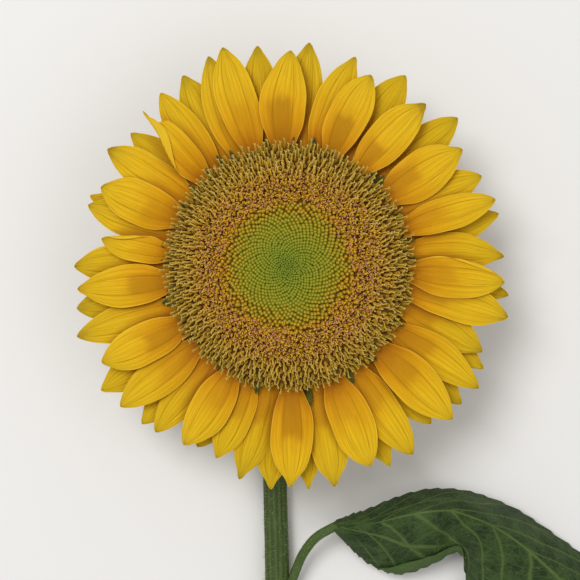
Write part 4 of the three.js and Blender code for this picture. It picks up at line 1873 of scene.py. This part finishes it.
@dataclass
class Leaf:
    """The leaf and its stalk.

    Midrib, near and far are the routes of the midrib and of the two margins. Curled is the share
    of the near side that is folded up. The crease holds its place along X, the height of its
    ridge and the depth of its hollow.
    """

    seat: Seat
    stalk: tuple = (
        (-2.6, -119.5, 4.6), (0.6, -114.5, 5.4), (2.6, -109.5, 6.6), (5.2, -103.4, 8.4),
        (9.9, -97.2, 10.6), (17.5, -92.6, 12.4),
    )
    stalk_radius: float = 1.7
    midrib: tuple = (
        (15.5, -93, 12), (22, -92.4, 15), (31, -90.8, 18.5), (42, -87.6, 21.5), (54, -86, 23),
        (66, -88.5, 22.5), (78, -95, 20.5), (90, -104.5, 17.5), (102, -116.5, 13.5),
        (113, -131, 9.5), (123, -148, 6), (131, -166, 3), (141, -189, 0.45),
    )
    near: tuple = (
        (17, -95.6, 11.5), (22.5, -101.5, 8), (29, -107.5, 5), (39, -111.6, 6), (51, -107.8, 9),
        (61.5, -103, 9.5), (65, -117, 6), (68, -138, 2), (76, -156, 1), (89, -171, 1),
        (105, -181, 1), (120, -186, 1), (141, -189.6, 0.45),
    )
    far: tuple = (
        (17, -91, 11.5), (22, -89.4, 11), (30, -86.8, 9.5), (42, -82.2, 8.5), (55, -80.2, 7),
        (69, -82.4, 5.5), (84, -88.8, 4), (99, -99, 2.5), (114, -110.5, 1.5), (129, -125.5, 1),
        (140, -143, 1), (143, -163, 1), (141.4, -188.6, 0.45),
    )
    half_thickness: float = 0.22
    teeth: int = 30
    tooth: float = 1.3
    bulge: float = 1.6
    curled: float = 0.17
    crease: tuple = (64.0, 2.4, 3.6)

    def place(self, along: Array, across: Array) -> Array:
        """Work out points of the blade.

        Args:
            along: Share from the foot to the tip.
            across: From -1, the near margin, over 0, the midrib, to 1, the far margin.

        Returns:
            The points.
        """
        middle = along_route(list(self.midrib), along)
        margin = np.where(
            (across < 0)[:, None],
            along_route(list(self.near), along),
            along_route(list(self.far), along),
        )
        share = np.abs(across)
        curled = self.curled * smooth_step(along, 0.17, 0.27) * smooth_step(along, 0.46, 0.4)
        share = np.where(across < 0, share / (1 - curled), share)
        over = np.maximum(share - 1, 0)
        share = share - 2 * over
        rim = unit(margin - middle)
        saw = (along * self.teeth) % 1
        tooth = self.tooth * (saw - 0.4) * smooth_step(share, 0.86, 1.0)
        tooth *= smooth_step(along, 0.02, 0.1) * smooth_step(along, 1.0, 0.9)
        points = middle + (margin - middle) * share[:, None] + rim * tooth[:, None]
        quilt = 0.55 * np.abs(np.sin(np.pi * 11 * (along - 0.22 * share)))
        quilt *= np.sin(np.pi * np.clip(share, 0, 1)) * smooth_step(along, 0.05, 0.2)
        points[:, 2] += self.bulge * np.sin(np.pi * share) + quilt
        points[:, 2] -= 0.5 * np.exp(-((share / 0.05) ** 2))
        points[:, 2] += 1.3 * smooth_step(over, 0.0, 0.05)
        line, ridge, hollow = self.crease
        bent = np.exp(-(((points[:, 0] - line - 3) / 6) ** 2)) * ridge
        bent -= np.exp(-(((points[:, 0] - line + 6) / 4.5) ** 2)) * hollow
        points[:, 2] += bent * smooth_step(share, 1.0, 0.55)
        points[:, 2] = np.maximum(points[:, 2], 0.3)
        return points

    def build(self) -> None:
        """Build the blade, the stalk and the hairs."""
        blade = laid(sheet(110, 44), self.place, self.half_thickness)
        if np.mean(self._facing(blade, blade.values["face"] > 0)) < 0:
            blade.triangles = blade.triangles[:, ::-1]
        stalk = self._stalk()
        finish = LeafFinish().made()
        shape = Shape.joined([blade, stalk])
        self.seat.piece("leaf_fine", shape, finish, "leaf", "leaf")
        down = Shape.joined([
            hairs(blade, 5200, 0.5, 0.035, 41),
            hairs(stalk, 500, 0.8, 0.05, 42),
        ])
        self.seat.piece("leaf_hairs", down, HairFinish().made(), "leaf", "leaf")

    @staticmethod
    def _facing(shape: Shape, chosen: Array) -> Array:
        """Say how far the triangles among some points face upwards.

        Args:
            shape: The shape.
            chosen: Whether each of its points is chosen.

        Returns:
            From -1, downwards, to 1, upwards, for each triangle among them.
        """
        corners = shape.points[shape.triangles]
        normals = unit(np.cross(corners[:, 1] - corners[:, 0], corners[:, 2] - corners[:, 0]))
        return normals[chosen[shape.triangles].all(axis=1), 2]

    def _stalk(self) -> Shape:
        """Build the leaf's stalk along its route.

        Returns:
            The stalk, with the same named numbers as the blade.
        """
        rings = 24
        tube = spike(12, [(1, i / rings) for i in range(rings + 1)])
        share = np.clip(tube.points[:, 2], 0, 1)
        radial = np.hypot(tube.points[:, 0], tube.points[:, 1])
        angle = np.arctan2(tube.points[:, 1], tube.points[:, 0])
        route = along_route(list(self.stalk), share)
        ahead = along_route(list(self.stalk), np.minimum(share + 0.01, 1))
        behind = along_route(list(self.stalk), np.maximum(share - 0.01, 0))
        tangent = unit(ahead - behind)
        side = unit(np.cross(tangent, np.array([0, 0, 1.0])))
        across = np.cross(side, tangent)
        wide = self.stalk_radius * radial * (1 + 0.25 * smooth_step(share, 0.25, 0.0))
        channel = 1 - 0.25 * np.exp(-(((angle - np.pi / 2) / 0.5) ** 2)) * (radial > 0.5)
        points = (
            route
            + side * (wide * np.cos(angle))[:, None]
            + across * (wide * np.sin(angle) * channel)[:, None]
        )
        stalk = Shape(points, tube.triangles[:, ::-1])
        return stalk.marked(along=0.5, across=0.02, face=1)


@dataclass
class Studio:
    """Floor, soft light and the camera that looks straight down."""

    seat: Seat
    lens: float = 100
    distance: float = 553
    head_height: float = 40
    aim: tuple = (0.3, -7.9)
    sky: tuple = (1.0, 0.99, 0.97, 1)
    sky_strength: float = 0.5

    def _area(self, name: str, place: tuple, size: float, power: float) -> None:
        """Add a soft light that looks at the head.

        Args:
            name: Name of the light.
            place: Where it hangs, in metres from the head.
            size: Edge of its square, in metres.
            power: Its power, in watts.
        """
        lamp = bpy.data.lights.new(name, "AREA")
        lamp.shape = "SQUARE"
        lamp.size = size
        lamp.energy = power
        body = bpy.data.objects.new(name, lamp)
        bpy.context.collection.objects.link(body)
        head = np.array([self.seat.x, self.seat.y, 0]) * MM
        body.location = head + np.array(place)
        body.rotation_euler = self._towards(-np.array(place))

    @staticmethod
    def _towards(direction: Array) -> tuple[float, float, float]:
        """Return the rotation that turns -Z to a direction."""
        x, y, z = unit(direction)
        return (float(np.arccos(-z)), 0.0, float(np.arctan2(-x, y)))

    def build(self) -> None:
        """Build the floor, the lights and the camera."""
        bpy.ops.object.select_all(action="DESELECT")
        bpy.ops.mesh.primitive_plane_add(size=6, location=(0, 0, -0.0002))
        floor = bpy.context.object
        floor.name = "floor"
        floor.data.materials.append(FloorFinish().made())
        self._area("key", (-0.6, 0.55, 1.6), 0.8, 19)
        self._area("fill", (0.8, -0.4, 1.2), 1.2, 3.5)
        world = bpy.data.worlds.new("studio")
        world.use_nodes = True
        sky = world.node_tree.nodes["Background"]
        sky.inputs["Color"].default_value = self.sky
        sky.inputs["Strength"].default_value = self.sky_strength
        bpy.context.scene.world = world
        lens = bpy.data.cameras.new("camera")
        lens.lens = self.lens
        lens.sensor_width = 36
        camera = bpy.data.objects.new("camera", lens)
        bpy.context.collection.objects.link(camera)
        camera.location = (
            (self.seat.x + self.aim[0]) * MM,
            (self.seat.y + self.aim[1]) * MM,
            (self.seat.z + self.head_height + self.distance) * MM,
        )
        bpy.context.scene.camera = camera
        bpy.context.scene.view_settings.view_transform = "Standard"


def main() -> None:
    """Build the flower piece by piece and keep its overall size."""
    logging.basicConfig(level=logging.INFO, format="%(message)s")
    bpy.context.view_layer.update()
    seat = Seat.found()
    log.info("head at %.2f, %.2f, %.2f mm", seat.x, seat.y, seat.z)
    for part in (RayPetals(seat), Disc(seat), Calyx(seat), Stem(seat), Leaf(seat), Studio(seat)):
        part.build()
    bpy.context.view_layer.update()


if __name__ == "__main__":
    main()
